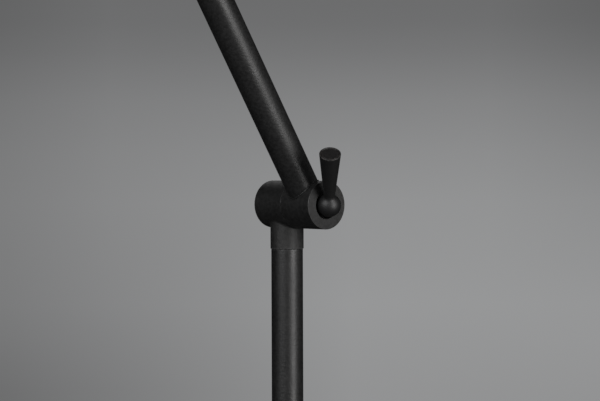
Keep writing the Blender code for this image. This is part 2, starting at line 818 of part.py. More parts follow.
def make_clamp(lever, arm):
    """The ball lever, its stud through both halves, and the spring washer under the ball."""
    hub_bottom = HUB_BOTTOM - BALL_CENTRE
    stud_top = STUD_END - BALL_CENTRE
    ball = [(0, BALL_RADIUS)]
    ball += arc((0, 0), BALL_RADIUS, BALL_TOP_ANGLE, BALL_HUB_ANGLE, BALL_STEPS)
    ball += [(HUB_RADIUS, -HUB_RADIUS), (HUB_RADIUS, hub_bottom), (0, hub_bottom)]
    piece = turned("clamp_lever", ball, "satin_black", parent=lever, rotation=FACE_FRONT)
    edge = HANDLE_EDGE
    handle = turned("lever_handle", [
        (0, HANDLE_LENGTH),
        (HANDLE_TIP - edge, HANDLE_LENGTH),
        (HANDLE_TIP, HANDLE_LENGTH - edge),
        (HANDLE_ROOT, 0),
        (0, 0),
    ], parent=lever, rotation=(math.radians(HANDLE_RISE), 0, 0))
    bore = rod("stud_bore", STUD_RADIUS + GAP, hub_bottom - OVERSHOOT, stud_top + GAP,
               parent=lever, rotation=FACE_FRONT)
    join(piece, handle)
    cut(piece, bore)
    stud_bottom = SEAM - BALL_CENTRE - SEAM_GAP / 2 - Barrel.WEB - Barrel.BOSS_REACH + GAP
    rod("clamp_stud", STUD_RADIUS, stud_bottom, stud_top, "zinc_steel", parent=lever,
        rotation=FACE_FRONT)
    ring("clamp_spring_washer", STUD_RADIUS + GAP, COUNTERBORE_RADIUS - 2 * GAP,
         COUNTERBORE_FLOOR + GAP, SPRING_WASHER_TOP, "satin_black", parent=arm,
         rotation=FACE_FRONT)


# ---------------------------------------------------------------- head

def make_head_solid_half(arm_end):
    """The arm's half of the head pivot, with its spigot inside the arm's end."""
    half = HEAD.solid_half(arm_end)
    plane = (0, -ARM_PLANE, 0)
    low = -HEAD_COLLAR_DROP - SPIGOT_LENGTH
    collar = stepped_neck("head_collar", ARM_RADIUS, HEAD_COLLAR_DROP, HEAD.radius,
                          parent=arm_end, location=plane)
    bore = rod("head_lead_bore", LEAD_BORE * HEAD_SCALE, low - OVERSHOOT,
               -HEAD.size(Barrel.BOSS), parent=arm_end, location=plane)
    join(half, collar)
    screw_height = -HEAD_COLLAR_DROP - GAP - SPIGOT_LENGTH / 2
    cut(half, bore, lock_hole("head_screw_hole", arm_end, screw_height, ARM_PLANE),
        *HEAD.solid_tools(arm_end, HEAD_COUNTERBORE, HEAD_COUNTERBORE_DEPTH, HEAD_LEAD_ANGLE))


def make_head_hollow_half(head):
    """The shade's half of the head pivot, with a socket for the stem."""
    start, end = HEAD.slot_limits(HEAD_LEAD_ANGLE + ARM_TILT, HEAD_RANGE)
    half = HEAD.hollow_half(head)
    where = {"parent": head, "location": (0, -HEAD_PLANE, 0), "rotation": FACE_LEFT}
    socket = rod("stem_socket", STEM_SOCKET, HEAD.radius / 2, STEM_SOCKET_REACH, **where)
    bore = rod("stem_bore", STEM_RADIUS + GAP, HEAD.size(Barrel.BOSS) + 2 * GAP,
               STEM_SOCKET_REACH + OVERSHOOT, **where)
    join(half, socket)
    cut(half, *HEAD.hollow_tools(head, start, end), bore)


def make_head_screw(arm_end):
    """A socket screw through the head pivot, with a spring washer under its head."""
    floor = HEAD.solid_length + SEAM_GAP / 2 - HEAD_COUNTERBORE_DEPTH
    washer_top = floor + GAP + HEAD_WASHER
    head_bottom = washer_top + GAP
    head_top = floor + HEAD_COUNTERBORE_DEPTH - GAP
    shank = HEAD.size(STUD_RADIUS)
    tip = -SEAM_GAP / 2 - HEAD.size(Barrel.WEB + Barrel.BOSS_REACH) + GAP
    profile = [
        (0, head_top),
        (HEAD_SCREW_RADIUS - HEAD_SCREW_EDGE, head_top),
        (HEAD_SCREW_RADIUS, head_top - HEAD_SCREW_EDGE),
        (HEAD_SCREW_RADIUS, head_bottom),
        (shank, head_bottom),
        (shank, tip),
        (0, tip),
    ]
    where = HEAD.where(arm_end)
    screw = turned("head_screw", profile, "zinc_steel", **where)
    cut(screw, rod("head_screw_socket", HEX_SOCKET, head_top - HEX_SOCKET_DEPTH,
                   head_top + OVERSHOOT, sides=HEX, **where))
    ring("head_spring_washer", shank + GAP, HEAD_COUNTERBORE - 2 * GAP, floor + GAP, washer_top,
         "zinc_steel", **where)


def cup_place(head, height=0.0):
    """A place on the upright axis of the lampholder cup."""
    return {"parent": head, "location": (-HEAD_REACH, -HEAD_PLANE, height)}


def make_head_stem(head):
    """The tube from the pivot to the cup, its end coped to the cup's side."""
    where = {"parent": head, "location": (0, -HEAD_PLANE, 0), "rotation": FACE_LEFT}
    stem = ring("head_stem", STEM_RADIUS - STEM_WALL, STEM_RADIUS, HEAD.radius, HEAD_REACH,
                "powder_coat", **where)
    cut(stem, rod("stem_cope", CUP_RADIUS + GAP, -CUP_RADIUS, CUP_RADIUS, **cup_place(head)))


def make_lampholder_cup(head):
    """A closed cup over the lampholder, drilled for the stem, the switch and two screws."""
    edge = (CUP_RADIUS - CUP_EDGE, CUP_TOP - CUP_EDGE)
    hole = SWITCH_BUSH + GAP
    profile = [(hole, CUP_TOP)] + arc(edge, CUP_EDGE, 90, 0, EDGE_STEPS)
    profile += [(CUP_RADIUS, CUP_BOTTOM), (CUP_RADIUS - CUP_WALL, CUP_BOTTOM)]
    profile += arc(edge, CUP_EDGE - CUP_WALL, 0, 90, EDGE_STEPS - 1)
    profile += [(hole, CUP_TOP - CUP_WALL)]
    cup = turned("lampholder_cup", profile, "powder_coat", **cup_place(head))
    lead = rod("cup_lead_hole", CUP_LEAD_HOLE, -CUP_RADIUS - OVERSHOOT,
               -CUP_RADIUS + 2 * CUP_WALL, rotation=FACE_LEFT, sides=SMALL_SIDES,
               **cup_place(head))
    cut(cup, lead, cup_screw_hole(head, "front", FACE_FRONT),
        cup_screw_hole(head, "back", FACE_BACK))


def cup_screw_hole(head, label, rotation):
    """The hole for one cup screw, through the wall or into the holder's flange."""
    return rod(f"cup_{label}_hole", CUP_SCREW + GAP, CUP_SCREW_TIP - GAP, CUP_RADIUS + OVERSHOOT,
               rotation=rotation, sides=SMALL_SIDES, **cup_place(head, HOLDER_SCREW_HEIGHT))


def make_cup_screws(head):
    """Two small screws through the cup into the lampholder's flange."""
    head_bottom = CUP_RADIUS + 2 * GAP
    profile = [
        (0, CUP_SCREW_TIP),
        (CUP_SCREW, CUP_SCREW_TIP),
        (CUP_SCREW, head_bottom),
        (CUP_SCREW_HEAD, head_bottom),
        (CUP_SCREW_HEAD - CUP_SCREW_SLOPE, head_bottom + CUP_SCREW_RIM),
        (CUP_SCREW_HEAD - CUP_SCREW_FLAT, head_bottom + CUP_SCREW_SHOULDER),
        (0, head_bottom + CUP_SCREW_CROWN),
    ]
    for label, rotation in (("front", FACE_FRONT), ("back", FACE_BACK)):
        turned("cup_screw_" + label, profile, "zinc_steel", rotation=rotation,
               sides=SMALL_SIDES, **cup_place(head, HOLDER_SCREW_HEIGHT))


def make_lampholder(head):
    """The insulating top and socket, the threaded brass shell and the centre contact."""
    flange_top = HOLDER_SCREW_HEIGHT + HOLDER_FLANGE_HEIGHT / 2
    flange_bottom = HOLDER_SCREW_HEIGHT - HOLDER_FLANGE_HEIGHT / 2
    socket_top = HOLDER_SPLIT - GAP / 2
    rod("lampholder_top", HOLDER_TOP_RADIUS, HOLDER_SPLIT + GAP / 2, HOLDER_TOP,
        "black_plastic", **cup_place(head))
    profile = [
        (HOLDER_SOCKET, socket_top),
        (HOLDER_TOP_RADIUS, socket_top),
        (HOLDER_TOP_RADIUS, flange_top),
        (HOLDER_FLANGE, flange_top),
        (HOLDER_FLANGE, flange_bottom),
        (HOLDER_RADIUS, flange_bottom),
        (HOLDER_RADIUS, HOLDER_BOTTOM),
        (HOLDER_SOCKET, HOLDER_BOTTOM),
    ]
    body = turned("lampholder_body", profile, "black_plastic", **cup_place(head))
    cut(body, cup_screw_hole(head, "body_front", FACE_FRONT),
        cup_screw_hole(head, "body_back", FACE_BACK))
    ring("lampholder_shell", CAP_RADIUS + GAP, HOLDER_SOCKET - GAP, HOLDER_BOTTOM + SHELL_SHORT,
         socket_top - SHELL_HEADROOM, "brass", **cup_place(head))
    rod("lampholder_contact", CONTACT_RADIUS, socket_top - GAP - CONTACT_THICKNESS,
        socket_top - GAP, "brass", sides=SMALL_SIDES, **cup_place(head))


def make_switch(head, switch):
    """A turn switch in the cup's top, its nut and its knob."""
    body_top = CUP_TOP - CUP_WALL - GAP
    nut_bottom = CUP_TOP + GAP
    nut_top = nut_bottom + SWITCH_NUT_HEIGHT
    bush_top = nut_top + BUSH_PROUD
    shaft_top = bush_top + KNOB_HEIGHT - KNOB_CROWN
    profile = [
        (0, shaft_top),
        (SWITCH_SHAFT, shaft_top),
        (SWITCH_SHAFT, bush_top),
        (SWITCH_BUSH, bush_top),
        (SWITCH_BUSH, body_top),
        (SWITCH_RADIUS, body_top),
        (SWITCH_RADIUS, body_top - SWITCH_HEIGHT),
        (0, body_top - SWITCH_HEIGHT),
    ]
    turned("switch_body", profile, "black_plastic", sides=SMALL_SIDES, **cup_place(head))
    nut = rod("switch_nut", SWITCH_NUT_RADIUS, nut_bottom, nut_top, "zinc_steel", sides=HEX,
              **cup_place(head))
    cut(nut, rod("switch_nut_hole", SWITCH_BUSH + GAP, nut_bottom - OVERSHOOT,
                 nut_top + OVERSHOOT, sides=SMALL_SIDES, **cup_place(head)))
    knob_bottom = bush_top + GAP
    knob_top = knob_bottom + KNOB_HEIGHT
    profile = [
        (0, knob_top),
        (KNOB_RADIUS - KNOB_EDGE, knob_top),
        (KNOB_RADIUS, knob_top - KNOB_EDGE),
        (KNOB_RADIUS, knob_bottom + KNOB_FOOT_EDGE),
        (KNOB_RADIUS - KNOB_FOOT_EDGE, knob_bottom),
        (SWITCH_SHAFT + GAP, knob_bottom),
        (SWITCH_SHAFT + GAP, shaft_top + GAP),
        (0, shaft_top + GAP),
    ]
    turned("switch_knob", profile, "satin_black", parent=switch)


def make_shade(head):
    """A spun dome with a flat top, clamped by a ring on the lampholder."""
    top = CUP_BOTTOM - GAP
    hole = HOLDER_RADIUS + GAP
    steps = SHADE_ARC_STEPS
    outer = [(hole, top)]
    inner = [(hole, top - SHADE_WALL)]
    sweep = SHADE_RADIUS - SHADE_NECK
    for step in range(steps + 1):
        turn = math.radians(90.0 * step / steps)
        across, down = math.sin(turn), 1 - math.cos(turn)
        outer.append((SHADE_NECK + sweep * across, top - SHADE_DEPTH * down))
        inner.append((SHADE_NECK + (sweep - SHADE_WALL) * across,
                      top - SHADE_WALL - (SHADE_DEPTH - SHADE_WALL) * down))
    bead = arc((SHADE_RADIUS, top - SHADE_DEPTH - SHADE_BEAD), SHADE_BEAD, BEAD_START, BEAD_END,
               EDGE_STEPS)
    profile = outer[:-1] + bead + inner[::-1]
    turned("shade", profile, "powder_coat", sides=FINE_SIDES, **cup_place(head))
    ring_top = top - SHADE_WALL - GAP
    ring("shade_ring", hole, SHADE_RING_RADIUS, ring_top - SHADE_RING_HEIGHT, ring_top,
         "black_plastic", **cup_place(head))


def make_lamp(head):
    """The lamp: a filled screw cap and a round glass envelope."""
    cap_top = HOLDER_SPLIT - GAP / 2 - GAP - CONTACT_THICKNESS - GAP
    shoulder = cap_top - CAP_SHOULDER
    filling = LAMP_NECK_TOP + GAP
    rim = HOLDER_BOTTOM - CAP_SHORT
    profile = [
        (0, cap_top),
        (CAP_TIP, cap_top),
        (CAP_TIP + CAP_EDGE / 2, cap_top - CAP_EDGE),
        (CAP_SLOPE_RADIUS, shoulder + CAP_EDGE),
        (CAP_RADIUS, shoulder),
        (CAP_RADIUS, rim),
        (CAP_RADIUS - CAP_SKIRT, rim),
        (CAP_RADIUS - CAP_SKIRT, filling),
        (0, filling),
    ]
    turned("lamp_cap", profile, "aluminium", **cup_place(head))
    steps = LAMP_ARC_STEPS
    wall = GLASS_WALL
    outer = arc((0, LAMP_CENTRE), LAMP_RADIUS, LAMP_SHOULDER_ANGLE, -90, steps)
    inner = arc((0, LAMP_CENTRE), LAMP_RADIUS - wall, LAMP_SHOULDER_ANGLE, -90, steps)
    profile = [(LAMP_NECK, LAMP_NECK_TOP), (LAMP_NECK, LAMP_NECK_BOTTOM)] + outer[:-1]
    profile += [(0, LAMP_CENTRE - LAMP_RADIUS), (0, LAMP_CENTRE - LAMP_RADIUS + wall)]
    profile += inner[:-1][::-1]
    profile += [(LAMP_NECK - wall, LAMP_NECK_BOTTOM), (LAMP_NECK - wall, LAMP_NECK_TOP)]
    turned("lamp_glass", profile, "frosted_glass", **cup_place(head))


# ---------------------------------------------------------------- assembly

def make_lamp_stand():
    make_base_pad()
    make_base_weight()
    make_base_cover()
    make_base_grommet()
    make_base_fastening()
    make_pole_foot()
    make_pole()
    lock_screw("pole_lock_screw", None, POLE_SCREW_HEIGHT, 0, POLE_RADIUS)


def build():
    """Make every part, each moving one under an empty on its joint's axis."""
    make_lamp_stand()
    tilt = math.radians(-ARM_TILT)
    knee = (0, 0, KNEE_HEIGHT)
    stand = make_pivot("knee_on_pole", knee)
    arm = make_pivot("knee_pivot", knee, (0, tilt, 0))
    ball = (0, -BALL_CENTRE, KNEE_HEIGHT)
    lever = make_pivot("lever_pivot", ball, (0, math.radians(-LEVER_TURN), 0))
    arm_end = make_pivot("arm_end", (0, 0, ARM_LENGTH), parent=arm)
    head = make_pivot("head_pivot", (0, 0, ARM_LENGTH), (0, -tilt, 0), parent=arm)
    switch = make_pivot("switch_pivot", (-HEAD_REACH, -HEAD_PLANE, 0), parent=head)

    make_knee_hollow_half(stand)
    KNEE.end_cap(stand)
    KNEE.friction_washer(stand)
    make_knee_solid_half(arm)
    KNEE.stop_pins(arm, KNEE_LEAD_ANGLE)
    make_arm_tube(arm)
    make_clamp(lever, arm)

    make_head_solid_half(arm_end)
    HEAD.stop_pins(arm_end, HEAD_LEAD_ANGLE)
    make_head_screw(arm_end)
    make_head_hollow_half(head)
    HEAD.end_cap(head)
    HEAD.friction_washer(head)
    make_head_stem(head)
    make_lampholder_cup(head)
    make_cup_screws(head)
    make_lampholder(head)
    make_switch(head, switch)
    make_shade(head)
    make_lamp(head)
    settle_meshes()


build()
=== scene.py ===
"""Looks for the adjustable arm floor lamp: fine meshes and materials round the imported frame."""
import json
import math

import bmesh
import bpy
from mathutils import Matrix, Vector


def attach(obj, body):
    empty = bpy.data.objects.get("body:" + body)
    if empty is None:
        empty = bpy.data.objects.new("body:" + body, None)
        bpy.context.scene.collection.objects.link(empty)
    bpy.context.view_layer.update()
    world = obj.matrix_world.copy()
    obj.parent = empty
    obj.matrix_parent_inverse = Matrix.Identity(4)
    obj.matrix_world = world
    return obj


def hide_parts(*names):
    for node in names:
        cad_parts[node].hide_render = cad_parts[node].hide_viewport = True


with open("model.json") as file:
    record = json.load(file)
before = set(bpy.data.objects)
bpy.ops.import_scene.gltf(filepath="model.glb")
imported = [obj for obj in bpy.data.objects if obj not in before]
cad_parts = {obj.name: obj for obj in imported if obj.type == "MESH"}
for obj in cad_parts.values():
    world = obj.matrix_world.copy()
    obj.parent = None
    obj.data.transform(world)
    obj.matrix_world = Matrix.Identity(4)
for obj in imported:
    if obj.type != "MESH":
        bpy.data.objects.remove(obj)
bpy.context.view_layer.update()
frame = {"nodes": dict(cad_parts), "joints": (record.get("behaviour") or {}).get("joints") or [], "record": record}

MM = 0.001

# Facets round a turned piece, and steps across a fillet
ROUND = 96
WIDE_ROUND = 160
SMALL_ROUND = 60
NUT_ROUND = 120
LOBED_ROUND = 240
KNURLED_ROUND = 320
FILLET_STEPS = 8

# Corners and edges in millimetres, but for the angle in degrees
SHARP_ANGLE = 32
FINE_ARC = 1.2
SMALL_CORNER = 1.0
LONG_EDGE = 2.4
WEAR_REACH = 0.8

FACE_FRONT = Matrix.Rotation(math.radians(90), 4, "X")
FACE_BACK = Matrix.Rotation(math.radians(-90), 4, "X")
FACE_LEFT = Matrix.Rotation(math.radians(-90), 4, "Y")
FACE_RIGHT = Matrix.Rotation(math.radians(90), 4, "Y")
UPSIDE_DOWN = Matrix.Rotation(math.pi, 4, "X")

# Places, from the frame
JOINTS = {joint["name"]: joint for joint in frame["joints"]}
KNEE = Vector(JOINTS["knee"]["pos_m"])
HEAD = Vector(JOINTS["head_tilt"]["pos_m"])
BALL = Vector(JOINTS["clamp_lever_turn"]["pos_m"])
KNOB = Vector(JOINTS["switch_turn"]["pos_m"])
ARM_TILT = math.atan2(HEAD.x - KNEE.x, HEAD.z - KNEE.z)
ARM_LENGTH = math.hypot(HEAD.x - KNEE.x, HEAD.z - KNEE.z) / MM


def shift(x=0.0, front=0.0, z=0.0):
    """A move in millimetres: to +X, to the front (-Y) and up."""
    return Matrix.Translation((x * MM, -front * MM, z * MM))


AT_KNEE = shift(z=KNEE.z / MM)
ALONG_ARM = AT_KNEE @ Matrix.Rotation(ARM_TILT, 4, "Y")
AT_HEAD = shift(HEAD.x / MM, 0, HEAD.z / MM)
AT_ARM_END = AT_HEAD @ Matrix.Rotation(ARM_TILT, 4, "Y")
AT_CUP = Matrix.Translation((KNOB.x, KNOB.y, HEAD.z))
AT_BALL = Matrix.Translation((0, BALL.y, KNEE.z))

# Sizes in millimetres
GAP = 0.3
TUBE_WALL = 1.2
LEAD_BORE = 5.3
SPIGOT = 8.5
SPIGOT_LENGTH = 22.0
LOCK_SCREW_DROP = 11.0

BASE_RADIUS = 140.0
BASE_TOP = 22.0
COVER_LIFT = 1.5
INLET_HEIGHT = 10.5
FOOT_BOTTOM = BASE_TOP + GAP
FOOT_TOP = FOOT_BOTTOM + 12.0
POLE_RADIUS = 10.0
POLE_JOINT = 540.0

BARREL = 15.0
BARREL_REAR = -14.7
BARREL_FRONT = 38.1
SEAM = 11.7
CAP_RADIUS = 12.2
CAP_RECESS = 3.4
WASHER_OUTER = 13.8
WASHER_INNER = 11.4
WASHER_POCKET = 0.9
COUNTERBORE = 8.5
COUNTERBORE_DEPTH = 6.5
TURNING_MARKS = 8
MARK_HALF_WIDTH = 0.2
MARK_DEPTH = 0.045
COLLAR_RADIUS = 10.5
COLLAR_LENGTH = 28.0
COLLAR_GAP = 0.12
POLE_TOP = KNEE.z / MM - COLLAR_LENGTH - COLLAR_GAP

ARM_RADIUS = 10.25
ARM_PLANE = 23.4
HEAD_COLLAR_LENGTH = 20.0
ARM_TOP = ARM_LENGTH - HEAD_COLLAR_LENGTH - GAP

BALL_RADIUS = 7.3
BALL_STEPS = 24
HANDLE_ROOT = 2.67
HANDLE_TIP = 6.62
HANDLE_LENGTH = 39.9
HANDLE_FILLET = 3.4
LEVER_TURN = 26.2
LEVER_RISE = 28.0

HEAD_SCALE = 0.8
HEAD_BARREL = BARREL * HEAD_SCALE
HEAD_REAR = -8.44
HEAD_SEAM = 12.72
HEAD_FRONT = 33.88
HEAD_PLANE = -KNOB.y / MM
HEAD_CAP_RADIUS = CAP_RADIUS * HEAD_SCALE
HEAD_COUNTERBORE = 6.4
HEAD_COUNTERBORE_DEPTH = 6.0

CUP_RADIUS = 23.0
SHADE_TOP = -31.3
SHADE_EYE = 19.3
SHADE_SHOULDER = 28.0
SHADE_SPREAD = 67.0
SHADE_DEPTH = 85.0
SHADE_WALL = 1.1
RIM_BEAD = 1.6
GLOBE_RADIUS = 22.5
GLOBE_HEIGHT = -74.0
GLASS_WALL = 1.0


# ---------------------------------------------------------------- materials

def link(tree, source, target):
    tree.links.new(source, target)


def node(tree, kind, **settings):
    """A new shader node with these properties."""
    made = tree.nodes.new(kind)
    for key, value in settings.items():
        setattr(made, key, value)
    return made


def place_of(tree, stretch=(1, 1, 1)):
    """The object's own coordinates in metres, squeezed along each axis."""
    coordinates = node(tree, "ShaderNodeTexCoord")
    mapping = node(tree, "ShaderNodeMapping")
    mapping.inputs["Scale"].default_value = stretch
    link(tree, coordinates.outputs["Object"], mapping.inputs["Vector"])
    return mapping.outputs["Vector"]


def noise(tree, where, scale, detail=2.0, roughness=0.5):
    """Smooth noise, which lies mostly between 0.3 and 0.7."""
    made = node(tree, "ShaderNodeTexNoise")
    made.inputs["Scale"].default_value = scale
    made.inputs["Detail"].default_value = detail
    made.inputs["Roughness"].default_value = roughness
    link(tree, where, made.inputs["Vector"])
    return made.outputs["Fac"]


def between(tree, value, low, high, to_low, to_high):
    """Map a value from one range to another."""
    made = node(tree, "ShaderNodeMapRange", clamp=True)
    link(tree, value, made.inputs["Value"])
    for label, number in (("From Min", low), ("From Max", high), ("To Min", to_low),
                          ("To Max", to_high)):
        made.inputs[label].default_value = number
    return made.outputs["Result"]


def multiply(tree, first, second):
    """The product of two sockets."""
    made = node(tree, "ShaderNodeMath", operation="MULTIPLY")
    link(tree, first, made.inputs[0])
    link(tree, second, made.inputs[1])
    return made.outputs["Value"]


def blend_colours(tree, share, first, second):
    """Mix two colours, each a tuple or a socket, by a share."""
    made = node(tree, "ShaderNodeMix", data_type="RGBA")
    link(tree, share, made.inputs[0])
    for socket, colour in ((made.inputs[6], first), (made.inputs[7], second)):
        if isinstance(colour, tuple):
            socket.default_value = (*colour, 1.0)
        else:
            link(tree, colour, socket)
    return made.outputs[2]


def surface(name, colour, accent, roughness, spread=0.06, grain=1500.0, height=0.02, metallic=0.0,
            stretch=(1, 1, 1), patch=45.0, worn=None, wear=0.0, specular=0.5, coat=0.0,
            fine=0.0):
    """A finish: grain in its bump and its colour, cloudy roughness, and wear on its edges.

    grain, patch and fine are the scales of the grain, of the clouds and of a second, finer
    grain; height is the depth of the grain in millimetres.
    """
    material = bpy.data.materials.new(name)
    material.use_nodes = True
    tree = material.node_tree
    shader = tree.nodes["Principled BSDF"]
    where = place_of(tree, stretch)
    plain = place_of(tree)
    grains = noise(tree, where, grain, 2.0, 0.6)
    clouds = noise(tree, plain, patch, 4.0, 0.55)
    tint = blend_colours(tree, between(tree, grains, 0.35, 0.65, 0.0, 1.0), colour, accent)
    dull = between(tree, clouds, 0.3, 0.7, roughness - spread, roughness + spread)
    if wear > 0:
        edges = node(tree, "ShaderNodeAttribute", attribute_name="wear")
        chips = between(tree, noise(tree, plain, 700.0, 3.0, 0.65), 0.40, 0.62, 0.0, wear)
        share = multiply(tree, edges.outputs["Fac"], chips)
        tint = blend_colours(tree, share, tint, worn)
    link(tree, tint, shader.inputs["Base Color"])
    link(tree, dull, shader.inputs["Roughness"])
    shader.inputs["Metallic"].default_value = metallic
    shader.inputs["Specular IOR Level"].default_value = specular
    shader.inputs["Coat Weight"].default_value = coat
    bump = node(tree, "ShaderNodeBump")
    bump.inputs["Strength"].default_value = 1.0
    bump.inputs["Distance"].default_value = height * MM
    relief = grains
    if fine > 0:
        added = node(tree, "ShaderNodeMath", operation="MULTIPLY_ADD")
        link(tree, noise(tree, plain, fine, 1.0, 0.5), added.inputs[0])
        added.inputs[1].default_value = 0.5
        link(tree, grains, added.inputs[2])
        relief = added.outputs["Value"]
    link(tree, relief, bump.inputs["Height"])
    link(tree, bump.outputs["Normal"], shader.inputs["Normal"])
    return material


LIGHT_WEAR = (0.10, 0.10, 0.10)
POWDER = surface("powder_coat", (0.008, 0.008, 0.008), (0.018, 0.018, 0.018), 0.44, 0.06,
                 480.0, 0.12, stretch=(1, 1, 1.6), worn=LIGHT_WEAR, wear=0.35, fine=1400.0)
BASE_POWDER = surface("powder_coat_base", (0.020, 0.020, 0.021), (0.030, 0.030, 0.031), 0.50,
                      0.05, 1100.0, 0.06, worn=LIGHT_WEAR, wear=0.25, fine=2600.0)
SMOOTH = surface("smooth_black", (0.0075, 0.0075, 0.0075), (0.0175, 0.0173, 0.0171), 0.49, 0.06,
                 480.0, 0.06, patch=160.0, worn=LIGHT_WEAR, wear=0.12, fine=1400.0)
COLLAR = surface("smooth_black_drawn", (0.009, 0.009, 0.0088), (0.021, 0.0207, 0.0203), 0.61, 0.06,
                 480.0, 0.20, stretch=(1, 1, 0.7), worn=LIGHT_WEAR, wear=0.4, fine=1400.0)
SATIN = surface("satin_black", (0.006, 0.006, 0.0062), (0.008, 0.008, 0.0082), 0.52, 0.04,
                900.0, 0.003, patch=120.0, worn=(0.075, 0.066, 0.063), wear=0.4, specular=0.6)
TIP = surface("satin_black_faced", (0.010, 0.0095, 0.0095), (0.022, 0.0205, 0.0205), 0.44, 0.06,
              1300.0, 0.012, worn=(0.10, 0.085, 0.08), wear=0.5)
# Painted shade: a near-black, dull finish for the spring washer in the shaded gap round the lever's ball
WASHER_PAINTED_SHADE = surface("spring_washer_painted_shade", (0.002, 0.002, 0.002), (0.004, 0.004, 0.004), 0.75,
                    0.05, 900.0, 0.01, specular=0.08)
ZINC = surface("zinc_steel", (0.50, 0.50, 0.51), (0.62, 0.62, 0.62), 0.34, 0.08, 2500.0, 0.006,
               metallic=1.0, worn=(0.75, 0.75, 0.74), wear=0.4)
IRON = surface("cast_iron", (0.06, 0.06, 0.062), (0.12, 0.12, 0.12), 0.72, 0.08, 420.0, 0.25,
               metallic=1.0)
BRASS = surface("brass", (0.62, 0.43, 0.17), (0.78, 0.58, 0.28), 0.30, 0.08, 1800.0, 0.008,
                metallic=1.0)
ALUMINIUM = surface("aluminium", (0.72, 0.72, 0.73), (0.84, 0.84, 0.84), 0.32, 0.08, 1500.0,
                    0.008, metallic=1.0)
PLASTIC = surface("black_plastic", (0.017, 0.017, 0.017), (0.025, 0.025, 0.025), 0.40, 0.06,
                  2200.0, 0.012, worn=LIGHT_WEAR, wear=0.2)
RUBBER = surface("rubber", (0.022, 0.022, 0.022), (0.040, 0.040, 0.039), 0.80, 0.06, 900.0, 0.05)
FIBRE = surface("fibre", (0.08, 0.06, 0.045), (0.14, 0.105, 0.08), 0.72, 0.06, 1200.0, 0.04)
ENAMEL = surface("white_enamel", (0.78, 0.77, 0.74), (0.82, 0.81, 0.78), 0.38, 0.05, 700.0, 0.012)
GLASS = surface("frosted_glass", (0.86, 0.85, 0.82), (0.90, 0.89, 0.86), 0.26, 0.06, 900.0, 0.006,
                coat=0.3)
GLASS_SHADER = GLASS.node_tree.nodes["Principled BSDF"]
GLASS_SHADER.inputs["Subsurface Weight"].default_value = 0.35
GLASS_SHADER.inputs["Subsurface Scale"].default_value = 4 * MM


# ---------------------------------------------------------------- mesh tools

def rounded_corner(before, corner, after, radius):
    """The points of a rounded corner between two straight edges.

    It takes less than half of the shorter edge, so that neighbouring corners never meet.
    """
    to_before, to_after = before - corner, after - corner
    limit = 0.48 * min(to_before.length, to_after.length)
    a, b = to_before.normalized(), to_after.normalized()
    half = a.angle(b) / 2
    reach = min(radius / math.tan(half), limit)
    true_radius = reach * math.tan(half)
    middle = corner + (a + b).normalized() * (reach / math.cos(half))
    start = corner + a * reach - middle
    sweep = math.pi - 2 * half
    turn = 1 if a.x * b.y - a.y * b.x < 0 else -1
    steps = 3 if true_radius < FINE_ARC else 10
    points = []
    for step in range(steps + 1):
        angle = turn * sweep * step / steps
        cos, sin = math.cos(angle), math.sin(angle)
        points.append(middle + Vector((start.x * cos - start.y * sin,
                                       start.x * sin + start.y * cos)))
    return points


def soften(outline):
    """Round the corners of a closed outline of (radius, height[, corner radius]) points.

    Returns the points, and for each how much its edge wears: 1 on a small outer corner, and
    0 a little way along each of its long edges.
    """
    corners = [Vector(point[:2]) for point in outline]
    radii = [point[2] if len(point) > 2 else 0.0 for point in outline]
    area = sum(a.x * b.y - a.y * b.x for a, b in zip(corners, corners[1:] + corners[:1]))
    points, wear = [], []
    for index, corner in enumerate(corners):
        before, after = corners[index - 1], corners[(index + 1) % len(corners)]
        made = [corner]
        if radii[index] > 0:
            made = rounded_corner(before, corner, after, radii[index])
        a, b = corner - before, after - corner
        outward = (a.x * b.y - a.y * b.x) * area > 0
        worn = 1.0 if outward and 0 < radii[index] <= SMALL_CORNER else 0.0
        if worn and a.length > LONG_EDGE:
            points.append(made[0] - a.normalized() * WEAR_REACH)
            wear.append(0.0)
        points += made
        wear += [worn] * len(made)
        if worn and b.length > LONG_EDGE:
            points.append(made[-1] + b.normalized() * WEAR_REACH)
            wear.append(0.0)
    return points, wear


def skin(name, rings, wear, closed_loop):
    """A mesh over rings of as many points each, in metres."""
    shape = bmesh.new()
    layer = shape.verts.layers.float.new("wear")
    rows = []
    for ring, worn in zip(rings, wear):
        row = []
        for point in ring:
            vertex = shape.verts.new(point)
            vertex[layer] = worn
            row.append(vertex)
        rows.append(row)
    pairs = list(zip(rows, rows[1:]))
    if closed_loop:
        pairs.append((rows[-1], rows[0]))
    for first, second in pairs:
        for index in range(len(first)):
            following = (index + 1) % len(first)
            shape.faces.new((first[index], first[following], second[following], second[index]))
    bmesh.ops.remove_doubles(shape, verts=shape.verts, dist=1e-7)
    bmesh.ops.recalc_face_normals(shape, faces=shape.faces)
    mesh = bpy.data.meshes.new(name)
    shape.to_mesh(mesh)
    shape.free()
    return mesh


def settle(name, mesh, matrix, material, body, stands_for=(),
           sharp=SHARP_ANGLE):
    """Place a mesh in the frame, shade it, and let it ride on its body."""
    mesh.transform(matrix)
    mesh.materials.append(material)
    mesh.shade_smooth()
    mesh.set_sharp_from_angle(angle=math.radians(sharp))
    item = bpy.data.objects.new(name, mesh)
    bpy.context.scene.collection.objects.link(item)
    normals = item.modifiers.new("face_normals", "WEIGHTED_NORMAL")
    normals.keep_sharp = True
    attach(item, body)
    if stands_for:
        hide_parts(*stands_for)
    return item


def ring_points(point, sides, ripple):
    """A ring of a turned piece in metres; ripple gives its radius at every angle."""
    points = []
    for side in range(sides):
        angle = math.tau * side / sides
        radius = ripple(point, angle) if ripple else point.x
        points.append(Vector((radius * math.cos(angle), radius * math.sin(angle), point.y)) * MM)
    return points


